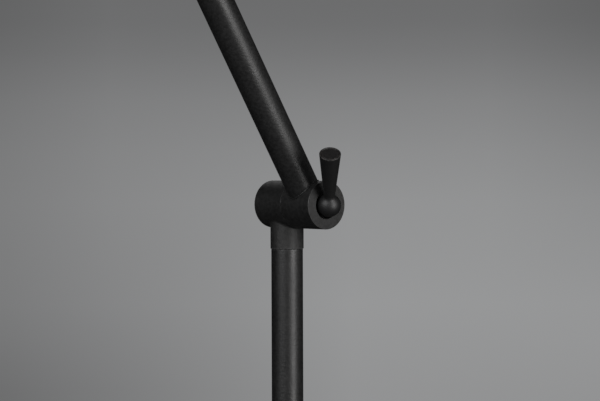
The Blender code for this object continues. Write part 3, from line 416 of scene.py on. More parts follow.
def lathe_mesh(name, outline, sides=ROUND, ripple=None):
    """Turn a closed outline of (radius, height[, corner radius]) points about local Z."""
    points, wear = soften(outline)
    on_axis = [point.x < 1e-6 for point in points]
    for index in range(len(points)):
        if on_axis[index] and on_axis[index - 1]:
            points = points[index:] + points[:index]
            wear = wear[index:] + wear[:index]
            break
    rings = [ring_points(point, sides, ripple) for point in points]
    return skin(name, rings, wear, not any(on_axis))


def lathe(name, outline, matrix, material, body, stands_for=(), sides=ROUND,
          ripple=None, sharp=SHARP_ANGLE):
    """A turned piece, placed and shaded."""
    return settle(name, lathe_mesh(name, outline, sides, ripple), matrix, material, body,
                  stands_for, sharp)


def flat_sided(point, angle):
    """The radius of a hexagon at an angle, whose corners are as far out as the point."""
    share = (angle % math.radians(60)) - math.radians(30)
    return point.x * math.cos(math.radians(30)) / math.cos(share)


def hexagon(radius_limit):
    """A ripple that makes six flats of every ring up to the limit."""
    def bent(point, angle):
        return flat_sided(point, angle) if 0 < point.x <= radius_limit else point.x
    return bent


def branch(name, wall, main, fillet, end, matrix, material, body, stands_for=()):
    """A round limb that grows along local Z from a main cylinder along local Y.

    wall and main are the two radii; fillet is its radius at the sides and at the front and
    back; end is the outline of the limb's far end, as (radius, height) points.
    """
    tail, tail_wear = soften([(0, 0), (wall, 0)] + end + [(0, end[-1][1])])
    tail, tail_wear = tail[2:], tail_wear[2:]
    sink = 0.4
    rows = [[] for _ in range(3 + FILLET_STEPS + len(tail))]
    for side in range(ROUND):
        angle = math.tau * side / ROUND
        spoke = Vector((math.cos(angle), math.sin(angle), 0))
        radius = fillet[1] + (fillet[0] - fillet[1]) * spoke.x ** 2
        centre = spoke * (wall + radius)
        centre.z = math.sqrt((main + radius) ** 2 - centre.x ** 2)
        to_wall = -spoke
        to_main = (Vector((0, centre.y, 0)) - centre).normalized()
        sweep = to_wall.angle(to_main)
        touch = centre + to_main * radius
        column = [Vector((0, 0, main / 2)), touch + to_main * sink]
        for step in range(FILLET_STEPS + 1):
            share = 1 - step / FILLET_STEPS
            mixed = to_wall * math.sin((1 - share) * sweep) + to_main * math.sin(share * sweep)
            column.append(centre + mixed / math.sin(sweep) * radius)
        for point in tail:
            column.append(spoke * point.x + Vector((0, 0, point.y)))
        for row, point in zip(rows, column):
            row.append(point * MM)
    wear = [0.0] * (3 + FILLET_STEPS) + tail_wear
    return settle(name, skin(name, rows, wear, False), matrix, material, body, stands_for)


def bead(name, wall, main, radius, ripples, matrix, material, body):
    """A weld bead where a tube along local Z meets a main cylinder along local Y."""
    steps, around = 288, 12
    buried = radius * 0.25
    rows = []
    for step in range(steps):
        angle = math.tau * step / steps
        spoke = Vector((math.cos(angle), math.sin(angle), 0))
        at = spoke * (wall + buried)
        at.z = math.sqrt((main + buried) ** 2 - at.x ** 2)
        outward = (spoke + (at - Vector((0, at.y, 0))).normalized()).normalized()
        slope = -at.x / at.z
        along = Vector((-math.sin(angle), math.cos(angle),
                        -slope * math.sin(angle))).normalized()
        side = along.cross(outward).normalized()
        size = radius * (1 + 0.07 * math.sin(angle * ripples) + 0.05 * math.sin(3 * angle + 1))
        row = []
        for index in range(around):
            turn = math.tau * index / around
            row.append((at + outward * size * math.cos(turn) + side * size * math.sin(turn)) * MM)
        rows.append(row)
    return settle(name, skin(name, rows, [0.0] * steps, True), matrix, material, body, sharp=80)


def arc(radius, centre, degrees):
    """Outline points round a centre, at these angles."""
    return [(centre[0] + radius * math.cos(math.radians(angle)),
             centre[1] + radius * math.sin(math.radians(angle))) for angle in degrees]


def drill(item, tool_mesh):
    """Cut a mesh away from a placed piece, and clear the slivers that the cut leaves."""
    sliver = 0.02 * MM
    tool = bpy.data.objects.new("drill", tool_mesh)
    bpy.context.scene.collection.objects.link(tool)
    tool.matrix_world = Matrix.Identity(4)
    cut = item.modifiers.new("drill", "BOOLEAN")
    cut.operation = "DIFFERENCE"
    cut.solver = "EXACT"
    cut.object = tool
    item.modifiers.move(len(item.modifiers) - 1, 0)
    bpy.context.view_layer.update()
    normals = item.modifiers["face_normals"]
    normals.show_viewport = False
    graph = bpy.context.evaluated_depsgraph_get()
    mesh = bpy.data.meshes.new_from_object(item.evaluated_get(graph))
    shape = bmesh.new()
    shape.from_mesh(mesh)
    bmesh.ops.remove_doubles(shape, verts=shape.verts, dist=sliver)
    bmesh.ops.dissolve_degenerate(shape, edges=shape.edges, dist=sliver)
    shape.to_mesh(mesh)
    shape.free()
    item.modifiers.remove(cut)
    item.data = mesh
    normals.show_viewport = True
    mesh.set_sharp_from_angle(angle=math.radians(SHARP_ANGLE))
    bpy.data.objects.remove(tool, do_unlink=True)


# ---------------------------------------------------------------- base

def make_pad():
    """The foot pad, ribbed underneath."""
    radius, thickness, rib_height = 134.0, 3.0, 0.6
    ribs = [(0, 0)]
    for start in range(24, 130, 12):
        ribs += [(start, 0), (start + 0.5, rib_height), (start + 3.5, rib_height), (start + 4, 0)]
    lathe("pad", ribs + [(radius, 0, 0.5), (radius, thickness, 0.5), (0, thickness)],
          Matrix.Identity(4), RUBBER, "stand", ("base_pad",), WIDE_ROUND)


def make_cover():
    """The spun cover, drilled near its rim for the inlet."""
    inner, ceiling, edge = BASE_RADIUS - TUBE_WALL, BASE_TOP - TUBE_WALL, 5.0
    cover = lathe("cover", [
        (LEAD_BORE, BASE_TOP, 0.2), (BASE_RADIUS, BASE_TOP, edge), (BASE_RADIUS, COVER_LIFT, 0.4),
        (inner, COVER_LIFT, 0.4), (inner, ceiling, edge - TUBE_WALL), (LEAD_BORE, ceiling),
    ], Matrix.Identity(4), BASE_POWDER, "stand", ("base_cover",), WIDE_ROUND)
    radius, reach = 4.3, 8.0
    hole = lathe_mesh("grommet_hole", [(0, -reach), (radius, -reach), (radius, reach), (0, reach)],
                      SMALL_ROUND)
    hole.transform(shift(BASE_RADIUS, 0, INLET_HEIGHT) @ FACE_RIGHT)
    drill(cover, hole)


def make_grommet():
    """The rubber inlet: two flanges with the cover's wall between them."""
    bore, neck, flange = 2.6, 4.0, 5.6
    inner_end, inner_side, outer_side, outer_end = -3.4, -1.7, 0.4, 2.4
    lathe("grommet", [
        (bore, inner_end, 0.3), (flange, inner_end, 0.3), (flange, inner_side, 0.3),
        (neck, inner_side), (neck, outer_side), (flange, outer_side, 0.3),
        (flange, outer_end - 0.9, 0.6), (flange - 1.2, outer_end, 0.5), (bore, outer_end, 0.6),
    ], shift(BASE_RADIUS, 0, INLET_HEIGHT) @ FACE_RIGHT, RUBBER, "stand", ("base_grommet",),
        SMALL_ROUND)


def make_foot():
    """The turned foot: a rim, a flare up to the pole, and a spigot inside the pole."""
    radius, rim, neck = 19.0, 4.0, 11.6
    flare_width, flare_height = 6.8, 8.0
    flare = []
    for angle in range(0, 90, 6):
        turn = math.radians(angle)
        flare.append((neck + flare_width * (1 - math.sin(turn)),
                      FOOT_BOTTOM + rim + flare_height * (1 - math.cos(turn))))
    spigot_top = FOOT_TOP + SPIGOT_LENGTH
    lathe("foot", [
        (LEAD_BORE, FOOT_BOTTOM), (radius, FOOT_BOTTOM, 0.4),
        (radius, FOOT_BOTTOM + rim - 0.3, 0.3), *flare, (neck, FOOT_TOP, 0.3), (SPIGOT, FOOT_TOP),
        (SPIGOT, spigot_top, 0.4), (LEAD_BORE, spigot_top, 0.3),
    ], Matrix.Identity(4), POWDER, "stand", ("pole_foot",))


def make_base():
    make_pad()
    make_cover()
    make_grommet()
    make_foot()


# ---------------------------------------------------------------- pole

def pole_tube(name, low, high, stands_for):
    """One tube of the pole, from one height to another."""
    bore = POLE_RADIUS - TUBE_WALL
    lathe(name, [(bore, low, 0.2), (POLE_RADIUS, low, 0.3), (POLE_RADIUS, high, 0.3),
                 (bore, high, 0.2)], Matrix.Identity(4), POWDER, "stand", stands_for)


def lock_screw(name, radius, matrix, body):
    """A button-head screw with a hexagon socket, square to a tube on its back side."""
    tip, shank, head, socket = 6.2, 1.7, 3.6, 1.3
    seat = radius + GAP
    crown, floor = seat + 2.0, seat + 0.8
    lathe(name + "_fine", [
        (0, tip), (shank, tip, 0.3), (shank, seat), (head, seat, 0.15), (head, seat + 0.9, 0.5),
        (head - 1.1, crown, 0.8), (socket + 0.05, crown, 0.05), (socket, floor), (0, floor),
    ], matrix, ZINC, body, (name,), SMALL_ROUND, hexagon(socket + 0.1))


def make_pole():
    pole_tube("pole_tube_lower", FOOT_TOP + GAP, POLE_JOINT - GAP / 2, ("pole_lower",))
    pole_tube("pole_tube_upper", POLE_JOINT + GAP / 2, POLE_TOP, ("pole_upper",))
    lock_screw("pole_lock_screw", POLE_RADIUS, shift(z=POLE_TOP - LOCK_SCREW_DROP) @ FACE_BACK,
               "stand")


# ---------------------------------------------------------------- pivots

def washer_pocket(scale, face, inwards):
    """The friction washer's pocket in a seam face, from its outer side to its inner side."""
    outer, inner = WASHER_OUTER * scale, WASHER_INNER * scale
    floor = face + inwards * WASHER_POCKET * scale
    return [(outer, face), (outer, floor), (inner, floor), (inner, face)]


def hollow_half(name, scale, rear, face, cavity, matrix, body, stands_for):
    """A barrel half with its cap's recess at the rear and its washer pocket at the seam."""
    outer, recess = BARREL * scale, rear + CAP_RECESS
    lathe(name, [
        (0, recess), (cavity, recess), (cavity, rear, 0.2), (outer, rear, 0.8),
        (outer, face, 0.2), *washer_pocket(scale, face, -1), (0, face),
    ], matrix, SMOOTH, body, stands_for)


def end_cap(name, rear, cavity, matrix, body, stands_for):
    """The cap in a hollow half's recess, with a groove round its face and a centre mark."""
    rim, outside = cavity - GAP, rear + GAP
    inside, groove, mark = outside + 2.5, outside + 0.35, outside + 0.5
    lathe(name, [
        (0, inside), (rim, inside, 0.2), (rim, outside, 0.4), (rim - 1.8, outside, 0.1),
        (rim - 2.2, groove, 0.1), (rim - 2.9, groove, 0.1), (rim - 3.3, outside, 0.1),
        (0.9, outside, 0.1), (0.5, mark), (0, mark),
    ], matrix, SATIN, body, stands_for)


def solid_half(name, scale, face, front, bore, depth, matrix, body, stands_for):
    """A barrel half with the counterbore at its front and its washer pocket at the seam.

    Fine turning marks ring the front face.
    """
    outer = BARREL * scale
    marks = []
    for index in range(1, TURNING_MARKS + 1):
        radius = bore + (outer - bore) * index / (TURNING_MARKS + 1)
        marks += [(radius - MARK_HALF_WIDTH, front), (radius, front - MARK_DEPTH),
                  (radius + MARK_HALF_WIDTH, front)]
    lathe(name, [
        (0, front - depth), (bore, front - depth, 0.2), (bore, front, 0.3), *marks,
        (outer, front, 0.5), (outer, face, 0.12), *washer_pocket(scale, face, 1), (0, face),
    ], matrix, SMOOTH, body, stands_for)


def make_knee():
    """The knee's two barrel halves, the cap behind them and the collar under them."""
    on_pole = AT_KNEE @ FACE_FRONT
    half_seam = 0.1
    hollow_half("knee_rear_barrel", 1.0, BARREL_REAR, SEAM - half_seam, CAP_RADIUS, on_pole,
                "stand", ("knee_hollow_half",))
    end_cap("knee_cap", BARREL_REAR, CAP_RADIUS, on_pole, "stand", ("knee_end_cap",))
    branch("knee_collar", COLLAR_RADIUS, BARREL, (2.2, 0.7), [
        (COLLAR_RADIUS, COLLAR_LENGTH, 0.2), (SPIGOT, COLLAR_LENGTH),
        (SPIGOT, COLLAR_LENGTH + SPIGOT_LENGTH, 0.4),
    ], AT_KNEE @ UPSIDE_DOWN, COLLAR, "stand")
    solid_half("knee_front_barrel", 1.0, SEAM + half_seam, BARREL_FRONT, COUNTERBORE,
               COUNTERBORE_DEPTH, ALONG_ARM @ FACE_FRONT, "arm", ("knee_solid_half",))


def make_arm():
    """The arm's tube, its foot cut to the barrel, with a weld bead and a lock screw."""
    on_arm = ALONG_ARM @ shift(front=ARM_PLANE)
    bore = ARM_RADIUS - TUBE_WALL
    edge, inner_edge = 0.3, 0.2
    # (radius, height, wear) of every ring; one without a height lies on the barrel
    rings = [(ARM_RADIUS, None, 0), (ARM_RADIUS, ARM_TOP - edge - WEAR_REACH, 0)]
    rings += [(radius, height, 1) for radius, height in
              arc(edge, (ARM_RADIUS - edge, ARM_TOP - edge), (0, 30, 60, 90))]
    rings += [(bore + inner_edge, ARM_TOP, 0), (bore, ARM_TOP - inner_edge, 0), (bore, None, 0)]
    sunk = BARREL - 0.3
    rows = []
    for radius, height, _ in rings:
        row = []
        for side in range(ROUND):
            angle = math.tau * side / ROUND
            x, y = radius * math.cos(angle), radius * math.sin(angle)
            level = math.sqrt(sunk ** 2 - x ** 2) if height is None else height
            row.append(Vector((x, y, level)) * MM)
        rows.append(row)
    tube = skin("arm_long_tube", rows, [wear for _, _, wear in rings], True)
    settle("arm_long_tube", tube, on_arm, POWDER, "arm", ("arm_tube",))
    weld_radius, ripples = 0.5, 42
    bead("arm_weld", ARM_RADIUS, BARREL, weld_radius, ripples, on_arm, POWDER, "arm")
    lock_screw("arm_lock_screw", ARM_RADIUS,
               on_arm @ shift(z=ARM_TOP - LOCK_SCREW_DROP) @ FACE_BACK, "arm")


def ball_and_fillet(slope):
    """The outline of the lever's ball, and of the fillet from it to the handle's side.

    The side starts at HANDLE_ROOT beside the ball's centre and leans out by slope. The
    fillet's centre lies where it touches both.
    """
    lean = math.hypot(1, slope)
    aside = HANDLE_ROOT + HANDLE_FILLET * lean
    reach = BALL_RADIUS + HANDLE_FILLET
    height = (math.sqrt((reach * lean) ** 2 - aside ** 2) - aside * slope) / lean ** 2
    across = aside + slope * height
    touch = math.atan2(height, across)
    outline = [(0, -BALL_RADIUS)]
    for step in range(1, BALL_STEPS + 1):
        angle = -math.pi / 2 + (touch + math.pi / 2) * step / BALL_STEPS
        outline.append((BALL_RADIUS * math.cos(angle), BALL_RADIUS * math.sin(angle)))
    for step in range(1, FILLET_STEPS + 1):
        angle = math.pi + touch - (touch + math.atan(slope)) * step / FILLET_STEPS
        outline.append((across + HANDLE_FILLET * math.cos(angle),
                        height + HANDLE_FILLET * math.sin(angle)))
    return outline


def make_lever_tip(to_handle):
    """The turned face in the tip's recess, with its fine rings."""
    under, valley, crest = HANDLE_LENGTH - 2, HANDLE_LENGTH - 0.22, HANDLE_LENGTH - 0.17
    face, first, pitch, count = HANDLE_TIP - 1.3, 5.0, 0.72, 7
    rings = []
    for index in range(count):
        radius = first - index * pitch
        rings += [(radius, valley), (radius - pitch / 2, crest)]
    lathe("lever_tip", [(0, under), (face, under), (face, HANDLE_LENGTH - 0.2, 0.1), *rings,
                        (0, valley)], to_handle, TIP, "lever")


def make_lever_hub():
    """The hub under the ball, which ends over the spring washer."""
    bore, radius, top = 3.3, 5.2, -4.2
    bottom = BALL.y / MM + BARREL_FRONT - COUNTERBORE_DEPTH + 1.7
    lathe("lever_hub", [(bore, bottom, 0.2), (radius, bottom, 0.3), (radius, top), (bore, top)],
          AT_BALL @ FACE_FRONT, SATIN, "lever")


def make_lever():
    """The ball and its handle in one turning, then the tip's face and the hub."""
    to_handle = (AT_BALL @ Matrix.Rotation(math.radians(-LEVER_TURN), 4, "Y")
                 @ Matrix.Rotation(math.radians(LEVER_RISE), 4, "X"))
    recess = HANDLE_LENGTH - 0.6
    lathe("lever_handle", ball_and_fillet((HANDLE_TIP - HANDLE_ROOT) / HANDLE_LENGTH) + [
        (HANDLE_TIP, HANDLE_LENGTH, 0.45), (HANDLE_TIP - 0.95, HANDLE_LENGTH, 0.12),
        (HANDLE_TIP - 1.2, recess, 0.1), (0, recess),
    ], to_handle, SATIN, "lever", ("clamp_lever",))
    make_lever_tip(to_handle)
    make_lever_hub()


def make_head_collar():
    """The collar between the arm's end and the head's front barrel half."""
    branch("head_collar", ARM_RADIUS, HEAD_BARREL, (1.2, 0.05), [
        (ARM_RADIUS, HEAD_COLLAR_LENGTH, 0.35), (SPIGOT, HEAD_COLLAR_LENGTH),
        (SPIGOT, HEAD_COLLAR_LENGTH + SPIGOT_LENGTH, 0.4),
    ], AT_ARM_END @ shift(front=ARM_PLANE) @ UPSIDE_DOWN, COLLAR, "arm")


def make_head_screw(matrix):
    """The socket screw in the counterbore."""
    shank, head, socket, length, socket_depth = 2.4, 4.6, 2.6, 20.0, 2.4
    top = HEAD_FRONT - GAP
    seat = HEAD_FRONT - HEAD_COUNTERBORE_DEPTH + 1.6
    lathe("head_socket_screw", [
        (0, seat - length), (shank, seat - length), (shank, seat), (head, seat, 0.2),
        (head, top, 0.4), (socket + 0.15, top, 0.1), (socket, top - socket_depth),
        (0, top - socket_depth),
    ], matrix, ZINC, "arm", ("head_screw",), SMALL_ROUND, hexagon(socket + 0.1))


def make_stem_socket():
    """The socket on the head's rear barrel half that holds the stem."""
    radius, bore, length, depth = 8.2, 6.2, 24.0, 4.0
    branch("stem_socket", radius, HEAD_BARREL, (1.6, 1.2), [
        (radius, length, 0.5), (bore, length, 0.2), (bore, length - depth),
    ], AT_HEAD @ shift(front=HEAD_PLANE) @ FACE_LEFT, SMOOTH, "head")


def make_head_pivot():
    """The head's two barrel halves, each with its limb, and their screw and cap."""
    on_head = AT_HEAD @ FACE_FRONT
    on_end = AT_ARM_END @ FACE_FRONT
    half_seam = 0.2
    solid_half("head_front_barrel", HEAD_SCALE, HEAD_SEAM + half_seam, HEAD_FRONT,
               HEAD_COUNTERBORE, HEAD_COUNTERBORE_DEPTH, on_end, "arm", ("head_solid_half",))
    make_head_collar()
    make_head_screw(on_end)
    hollow_half("head_rear_barrel", HEAD_SCALE, HEAD_REAR, HEAD_SEAM - half_seam,
                HEAD_CAP_RADIUS, on_head, "head", ("head_hollow_half",))
    end_cap("head_cap", HEAD_REAR, HEAD_CAP_RADIUS, on_head, "head", ("head_end_cap",))
    make_stem_socket()


# ---------------------------------------------------------------- head

def make_stem():
    """The stem, which grows from the cup's side towards the pivot."""
    from_cup = AT_CUP @ Matrix(((0, 0, 1, 0), (1, 0, 0, 0), (0, 1, 0, 0), (0, 0, 0, 1)))
    radius, bore, length, depth = 6.0, 4.9, 110.0, 10.0
    branch("stem", radius, CUP_RADIUS, (0.9, 0.9), [
        (radius, length, 0.3), (bore, length, 0.2), (bore, length - depth),
    ], from_cup, POWDER, "head", ("head_stem",))


def make_cup():
    """The cup over the lampholder."""
    wall, eye, top, bottom = 1.0, 3.3, 22.0, -31.0
    inner = CUP_RADIUS - wall
    lathe("cup", [
        (eye, top, 0.2), (CUP_RADIUS, top, 4.0), (CUP_RADIUS, bottom, 0.3), (inner, bottom, 0.3),
        (inner, top - wall, 3.0), (eye, top - wall),
    ], AT_CUP, POWDER, "head", ("lampholder_cup",))


def make_cup_screws():
    """The two screws that hold the cup on the lampholder, at its front and its back."""
    tip, shank, head, socket, height = 18.0, 1.4, 2.8, 1.0, -26.0
    seat = CUP_RADIUS + 0.6
    crown, floor = seat + 1.5, seat + 0.5
    outline = [(0, tip), (shank, tip, 0.2), (shank, seat), (head, seat, 0.15),
               (head, seat + 0.5, 0.3), (head - 1.1, crown, 0.7), (socket + 0.05, crown, 0.05),
               (socket, floor), (0, floor)]
    for label, turn in (("front", FACE_FRONT), ("back", FACE_BACK)):
        lathe(f"cup_screw_{label}_fine", outline, AT_CUP @ shift(z=height) @ turn, ZINC, "head",
              ("cup_screw_" + label,), SMALL_ROUND, hexagon(socket + 0.1))


def make_lampholder():
    """The lampholder's body, with the flange that the cup's screws reach."""
    shoulder, flange, radius, bore = 17.0, 21.7, 19.0, 14.4
    top, ceiling, flange_top, flange_bottom, bottom = -10.0, -18.0, -22.5, -29.5, -46.0
    lathe("lampholder", [
        (0, top), (shoulder, top, 0.5), (shoulder, flange_top), (flange, flange_top, 0.3),
        (flange, flange_bottom, 0.3), (radius, flange_bottom), (radius, bottom, 0.6),
        (bore, bottom, 0.5), (bore, ceiling), (0, ceiling),
    ], AT_CUP, PLASTIC, "head", ("lampholder_body", "lampholder_top"))


def make_switch_case():
    """The switch's case inside the cup, its threaded neck and its shaft."""
    shaft, thread, case = 1.8, 3.0, 8.0
    bottom, top, thread_top, shaft_top = 6.7, 20.7, 25.1, 33.6
    lathe("switch_case", [
        (0, shaft_top), (shaft, shaft_top, 0.2), (shaft, thread_top), (thread, thread_top, 0.2),
        (thread, top), (case, top, 0.4), (case, bottom, 0.5), (0, bottom),
    ], AT_CUP, PLASTIC, "head", ("switch_body",), SMALL_ROUND)


def make_switch_nut():
    """The hexagon nut that holds the switch in the cup's top, with its corners turned off."""
    bore, corner, bottom, top = 3.3, 6.0, 22.3, 24.3

    def six_sided(point, angle):
        if point.x < bore + 0.7:
            return point.x
        return min(point.x, flat_sided(Vector((corner, 0)), angle))

    lathe("switch_nut_fine", [
        (bore, bottom, 0.2), (corner - 0.5, bottom), (corner, bottom + 0.3), (corner, top - 0.3),
        (corner - 0.6, top), (bore, top, 0.2),
    ], AT_CUP, ZINC, "head", ("switch_nut",), NUT_ROUND, six_sided)


def make_knob():
    """The knurled knob on the switch's shaft, with a shallow recess in its top."""
    radius, bore, bottom, top, bore_top = 7.5, 2.1, 25.4, 36.4, 33.9
    knurls, half_depth, land = 40, 0.16, 1.0

    def knurled(point, angle):
        on_side = point.x > 6.6 and bottom + land < point.y < top - land
        return point.x - (half_depth + half_depth * math.cos(knurls * angle)) * on_side

    lathe("knob_fine", [
        (0, top - 0.5), (5.6, top - 0.5, 0.3), (6.2, top, 0.3), (radius, top, 0.6),
        (radius, top - land), (radius, top - land - 0.6), (radius, bottom + land + 0.6),
        (radius, bottom + land), (radius, bottom, 0.3), (bore, bottom, 0.2), (bore, bore_top),
        (0, bore_top),
    ], AT_CUP, SATIN, "knob", ("switch_knob",), KNURLED_ROUND, knurled)


def dome(wall):
    """Points of the shade's quarter ellipse, the wall inside its outer skin."""
    steps = 36
    points = []
    for step in range(steps + 1):
        turn = math.radians(90.0 * step / steps)
        points.append((SHADE_SHOULDER + (SHADE_SPREAD - wall) * math.sin(turn),
                       SHADE_TOP - wall - (SHADE_DEPTH - wall) * (1 - math.cos(turn))))
    return points


def make_shade():
    """The spun dome with its rolled rim."""
    rim = (SHADE_SHOULDER + SHADE_SPREAD - 0.05, SHADE_TOP - SHADE_DEPTH - RIM_BEAD)
    lathe("shade_shell", [
        (SHADE_EYE, SHADE_TOP, 0.2), *dome(0)[:-1], *arc(RIM_BEAD, rim, range(60, -151, -15)),
        *dome(SHADE_WALL)[::-1], (SHADE_EYE, SHADE_TOP - SHADE_WALL, 0.2),
    ], AT_CUP, POWDER, "head", ("shade",), WIDE_ROUND)


def make_lining():
    """The white paint inside the shade, a thin shell just off its wall."""
    start, back, front = 25.5, SHADE_WALL + 0.02, SHADE_WALL + 0.1
    lathe("shade_lining", [
        (start, SHADE_TOP - back), *dome(back)[:-1], *dome(front)[:-1][::-1],
        (start, SHADE_TOP - front),
    ], AT_CUP, ENAMEL, "head", sides=WIDE_ROUND, sharp=60)


def make_shade_ring():
    """The lobed ring that holds the shade on the lampholder."""
    radius, thickness, lobes, half_depth = 25.0, 6.0, 24, 0.35
    top = SHADE_TOP - 1.5
    bottom = top - thickness

    def lobed(point, angle):
        on_side = point.x > radius - 0.1
        return point.x - (half_depth + half_depth * math.cos(lobes * angle)) * on_side

    lathe("shade_nut", [
        (SHADE_EYE, top), (radius - 1, top, 0.3), (radius, top - 0.6), (radius, bottom + 0.6),
        (radius - 1, bottom, 0.3), (SHADE_EYE, bottom, 0.4),
    ], AT_CUP, PLASTIC, "head", ("shade_ring",), LOBED_ROUND, lobed)


def make_lamp():
    """The lamp's glass: a neck in the lampholder, and a globe."""
    neck, top, neck_end = 12.1, -39.0, -47.0
    centre = (0, GLOBE_HEIGHT)
    inner, inner_neck = GLOBE_RADIUS - GLASS_WALL, neck - GLASS_WALL
    lathe("lamp_globe", [
        (neck, top, 0.3), (neck, neck_end), (12.15, -49.5), (12.6, -51.5), (13.4, -53.3),
        *arc(GLOBE_RADIUS, centre, range(50, -90, -6)), (0, GLOBE_HEIGHT - GLOBE_RADIUS),
        (0, GLOBE_HEIGHT - inner), *arc(inner, centre, range(-84, 51, 6)),
        (12.4, -53.6), (11.4, -50.5), (inner_neck, neck_end), (inner_neck, top, 0.3),
    ], AT_CUP, GLASS, "head", ("lamp_glass",), sharp=50)


def make_head():
    make_stem()
    make_cup()
    make_cup_screws()
    make_lampholder()
    make_switch_case()
    make_switch_nut()
    make_knob()
    make_shade()
    make_lining()
    make_shade_ring()
    make_lamp()


# ---------------------------------------------------------------- hidden nodes

FINISH_OF = {
    "cast_iron": IRON, "zinc_steel": ZINC, "brass": BRASS, "aluminium": ALUMINIUM,
    "black_plastic": PLASTIC, "rubber": RUBBER, "fibre": FIBRE, "frosted_glass": GLASS,
    "powder_coat": POWDER, "smooth_black": SMOOTH, "satin_black": SATIN,
}
# The spring washer shows in the gap round the lever's ball, which is dark; its near-black, dull finish is painted
# shade for that gap
FINISH_OF_NODE = {"clamp_spring_washer": WASHER_PAINTED_SHADE}


def finish_cad_nodes():
    """Give every CAD node its own finish, or else the finish of its slot."""
    slots = {part["node"]: part["material_slot"] for part in frame["record"]["subparts"]}
    for name, item in frame["nodes"].items():
        item.data.materials.clear()
        item.data.materials.append(FINISH_OF_NODE.get(name) or FINISH_OF[slots[name]])


# ---------------------------------------------------------------- stage

CAMERA_AT = Vector((-0.69245, -0.83210, 1.07412))
AZIMUTH = math.radians(-40.204)
ELEVATION = math.radians(1.152)
ROLL = math.radians(-0.175)
LENS = 102.6
RIGHT = Vector((math.cos(AZIMUTH), math.sin(AZIMUTH), 0))
BACK = Vector((math.sin(AZIMUTH) * math.cos(ELEVATION), -math.cos(AZIMUTH) * math.cos(ELEVATION),
               math.sin(ELEVATION)))

# The floor is solid up to the first of these distances and gone from the second, in metres
FLOOR_FADE = (0.6, 2.4)

# (height of the direction, level) from the bottom of the backdrop to its top
BACKDROP = [(-0.3, 0.27), (-0.131, 0.290), (-0.08, 0.309), (-0.021, 0.290), (0.008, 0.264),
            (0.0375, 0.228), (0.067, 0.178), (0.083, 0.158), (0.14, 0.13), (0.3, 0.12)]
BACKDROP_REACH = 0.3
BACKDROP_TINT = (0.992, 1.0, 1.012)
# How the backdrop darkens to a level between two directions aside and two directions up
LOWER_LEFT = ((0.03, -0.17), (0.09, -0.13), 0.54)
UPPER_CORNERS = ((0.11, 0.175), (-0.10, 0.09), 0.83)
SURROUNDINGS = (0.010, 0.010, 0.0105)


def make_floor():
    """A pale studio floor that fades into the backdrop, and that lights the lamp only dimly."""
    rings = [0.0, 0.3, 0.8, 1.6, 3.0, 4.5, 6.0]
    rows = []
    for radius in rings:
        rows.append([Vector((radius * math.cos(math.tau * side / ROUND),
                             radius * math.sin(math.tau * side / ROUND), 0))
                     for side in range(ROUND)])
    mesh = skin("floor", rows, [0.0] * len(rows), False)
    floor = bpy.data.objects.new("floor", mesh)
    bpy.context.scene.collection.objects.link(floor)
    material = bpy.data.materials.new("studio_floor")
    material.use_nodes = True
    tree = material.node_tree
    shader = tree.nodes["Principled BSDF"]
    where = place_of(tree)
    speckle = noise(tree, where, 60.0, 3.0, 0.6)
    tint = blend_colours(tree, speckle, (0.46, 0.465, 0.47), (0.50, 0.505, 0.51))
    path = node(tree, "ShaderNodeLightPath")
    seen = blend_colours(tree, path.outputs["Is Camera Ray"], (0.07, 0.07, 0.07), tint)
    link(tree, seen, shader.inputs["Base Color"])
    link(tree, between(tree, noise(tree, where, 9.0), 0.3, 0.7, 0.80, 0.84),
         shader.inputs["Roughness"])
    shader.inputs["Specular IOR Level"].default_value = 0.15
    distance = node(tree, "ShaderNodeVectorMath", operation="LENGTH")
    link(tree, where, distance.inputs[0])
    link(tree, between(tree, distance.outputs["Value"], *FLOOR_FADE, 1.0, 0.0),
         shader.inputs["Alpha"])
    mesh.materials.append(material)


def area_light(name, at, target, width, tall, power, colour):
    """A rectangular light that the camera doesn't see."""
    data = bpy.data.lights.new(name, "AREA")
    data.shape = "RECTANGLE"
    data.size = width
    data.size_y = tall
    data.energy = power
    data.color = colour
    lamp = bpy.data.objects.new(name, data)
    bpy.context.scene.collection.objects.link(lamp)
    lamp.location = at
    lamp.rotation_euler = (Vector(target) - Vector(at)).to_track_quat("-Z", "Y").to_euler()
    lamp.visible_camera = False


def darkening(tree, across, height, across_span, height_span, level):
    """A factor that falls from 1 to a level where a direction is past both spans."""
    share = multiply(tree, between(tree, across, *across_span, 0.0, 1.0),
                     between(tree, height, *height_span, 0.0, 1.0))
    return between(tree, share, 0.0, 1.0, 1.0, level)


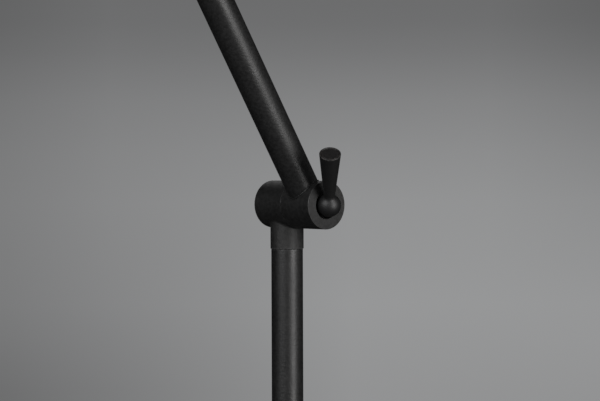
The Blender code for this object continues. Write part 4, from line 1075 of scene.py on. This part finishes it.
def make_world():
    """Dark surroundings, with a grey backdrop that only the view shows."""
    world = bpy.data.worlds.new("studio")
    bpy.context.scene.world = world
    world.use_nodes = True
    tree = world.node_tree
    background = tree.nodes["Background"]
    coordinates = node(tree, "ShaderNodeTexCoord")
    split = node(tree, "ShaderNodeSeparateXYZ")
    link(tree, coordinates.outputs["Generated"], split.inputs[0])
    height = split.outputs["Z"]
    ramp = node(tree, "ShaderNodeValToRGB")
    link(tree, between(tree, height, -BACKDROP_REACH, BACKDROP_REACH, 0.0, 1.0),
         ramp.inputs["Fac"])
    elements = ramp.color_ramp.elements
    while len(elements) < len(BACKDROP):
        elements.new(0.5)
    for element, (direction, level) in zip(elements, BACKDROP):
        element.position = (direction + BACKDROP_REACH) / (2 * BACKDROP_REACH)
        element.color = (*(level * part for part in BACKDROP_TINT), 1)
    aside = node(tree, "ShaderNodeVectorMath", operation="DOT_PRODUCT")
    link(tree, coordinates.outputs["Generated"], aside.inputs[0])
    aside.inputs[1].default_value = RIGHT
    sideways = node(tree, "ShaderNodeMath", operation="ABSOLUTE")
    link(tree, aside.outputs["Value"], sideways.inputs[0])
    dim = multiply(tree, darkening(tree, aside.outputs["Value"], height, *LOWER_LEFT),
                   darkening(tree, sideways.outputs["Value"], height, *UPPER_CORNERS))
    gradient = node(tree, "ShaderNodeVectorMath", operation="SCALE")
    link(tree, ramp.outputs["Color"], gradient.inputs[0])
    link(tree, dim, gradient.inputs["Scale"])
    path = node(tree, "ShaderNodeLightPath")
    seen = blend_colours(tree, path.outputs["Is Camera Ray"], SURROUNDINGS,
                         gradient.outputs["Vector"])
    link(tree, seen, background.inputs["Color"])


def make_camera():
    """The photo's view."""
    scene = bpy.context.scene
    data = bpy.data.cameras.new("camera")
    data.lens = LENS
    data.sensor_width = 36.0
    data.clip_end = 100.0
    camera = bpy.data.objects.new("camera", data)
    scene.collection.objects.link(camera)
    up = BACK.cross(RIGHT)
    right = RIGHT * math.cos(ROLL) + up * math.sin(ROLL)
    up = BACK.cross(right)
    turn = Matrix((right, up, BACK)).transposed()
    camera.matrix_world = Matrix.Translation(CAMERA_AT) @ turn.to_4x4()
    scene.camera = camera


def make_stage():
    make_floor()
    make_world()
    target = (-0.1, 0, 1.05)
    area_light("key", (0.25, -2.45, 1.30), target, 1.0, 2.1, 50, (1.0, 0.99, 0.985))
    area_light("fill", (-2.26, -0.44, 1.80), target, 1.8, 1.1, 31, (0.985, 0.99, 1.0))
    area_light("rim", (1.1, 2.3, 2.2), target, 1.2, 1.2, 3, (1.0, 1.0, 1.0))
    bpy.context.scene.view_settings.view_transform = "Standard"
    make_camera()


make_base()
make_pole()
make_knee()
make_arm()
make_lever()
make_head_pivot()
make_head()
finish_cad_nodes()
make_stage()
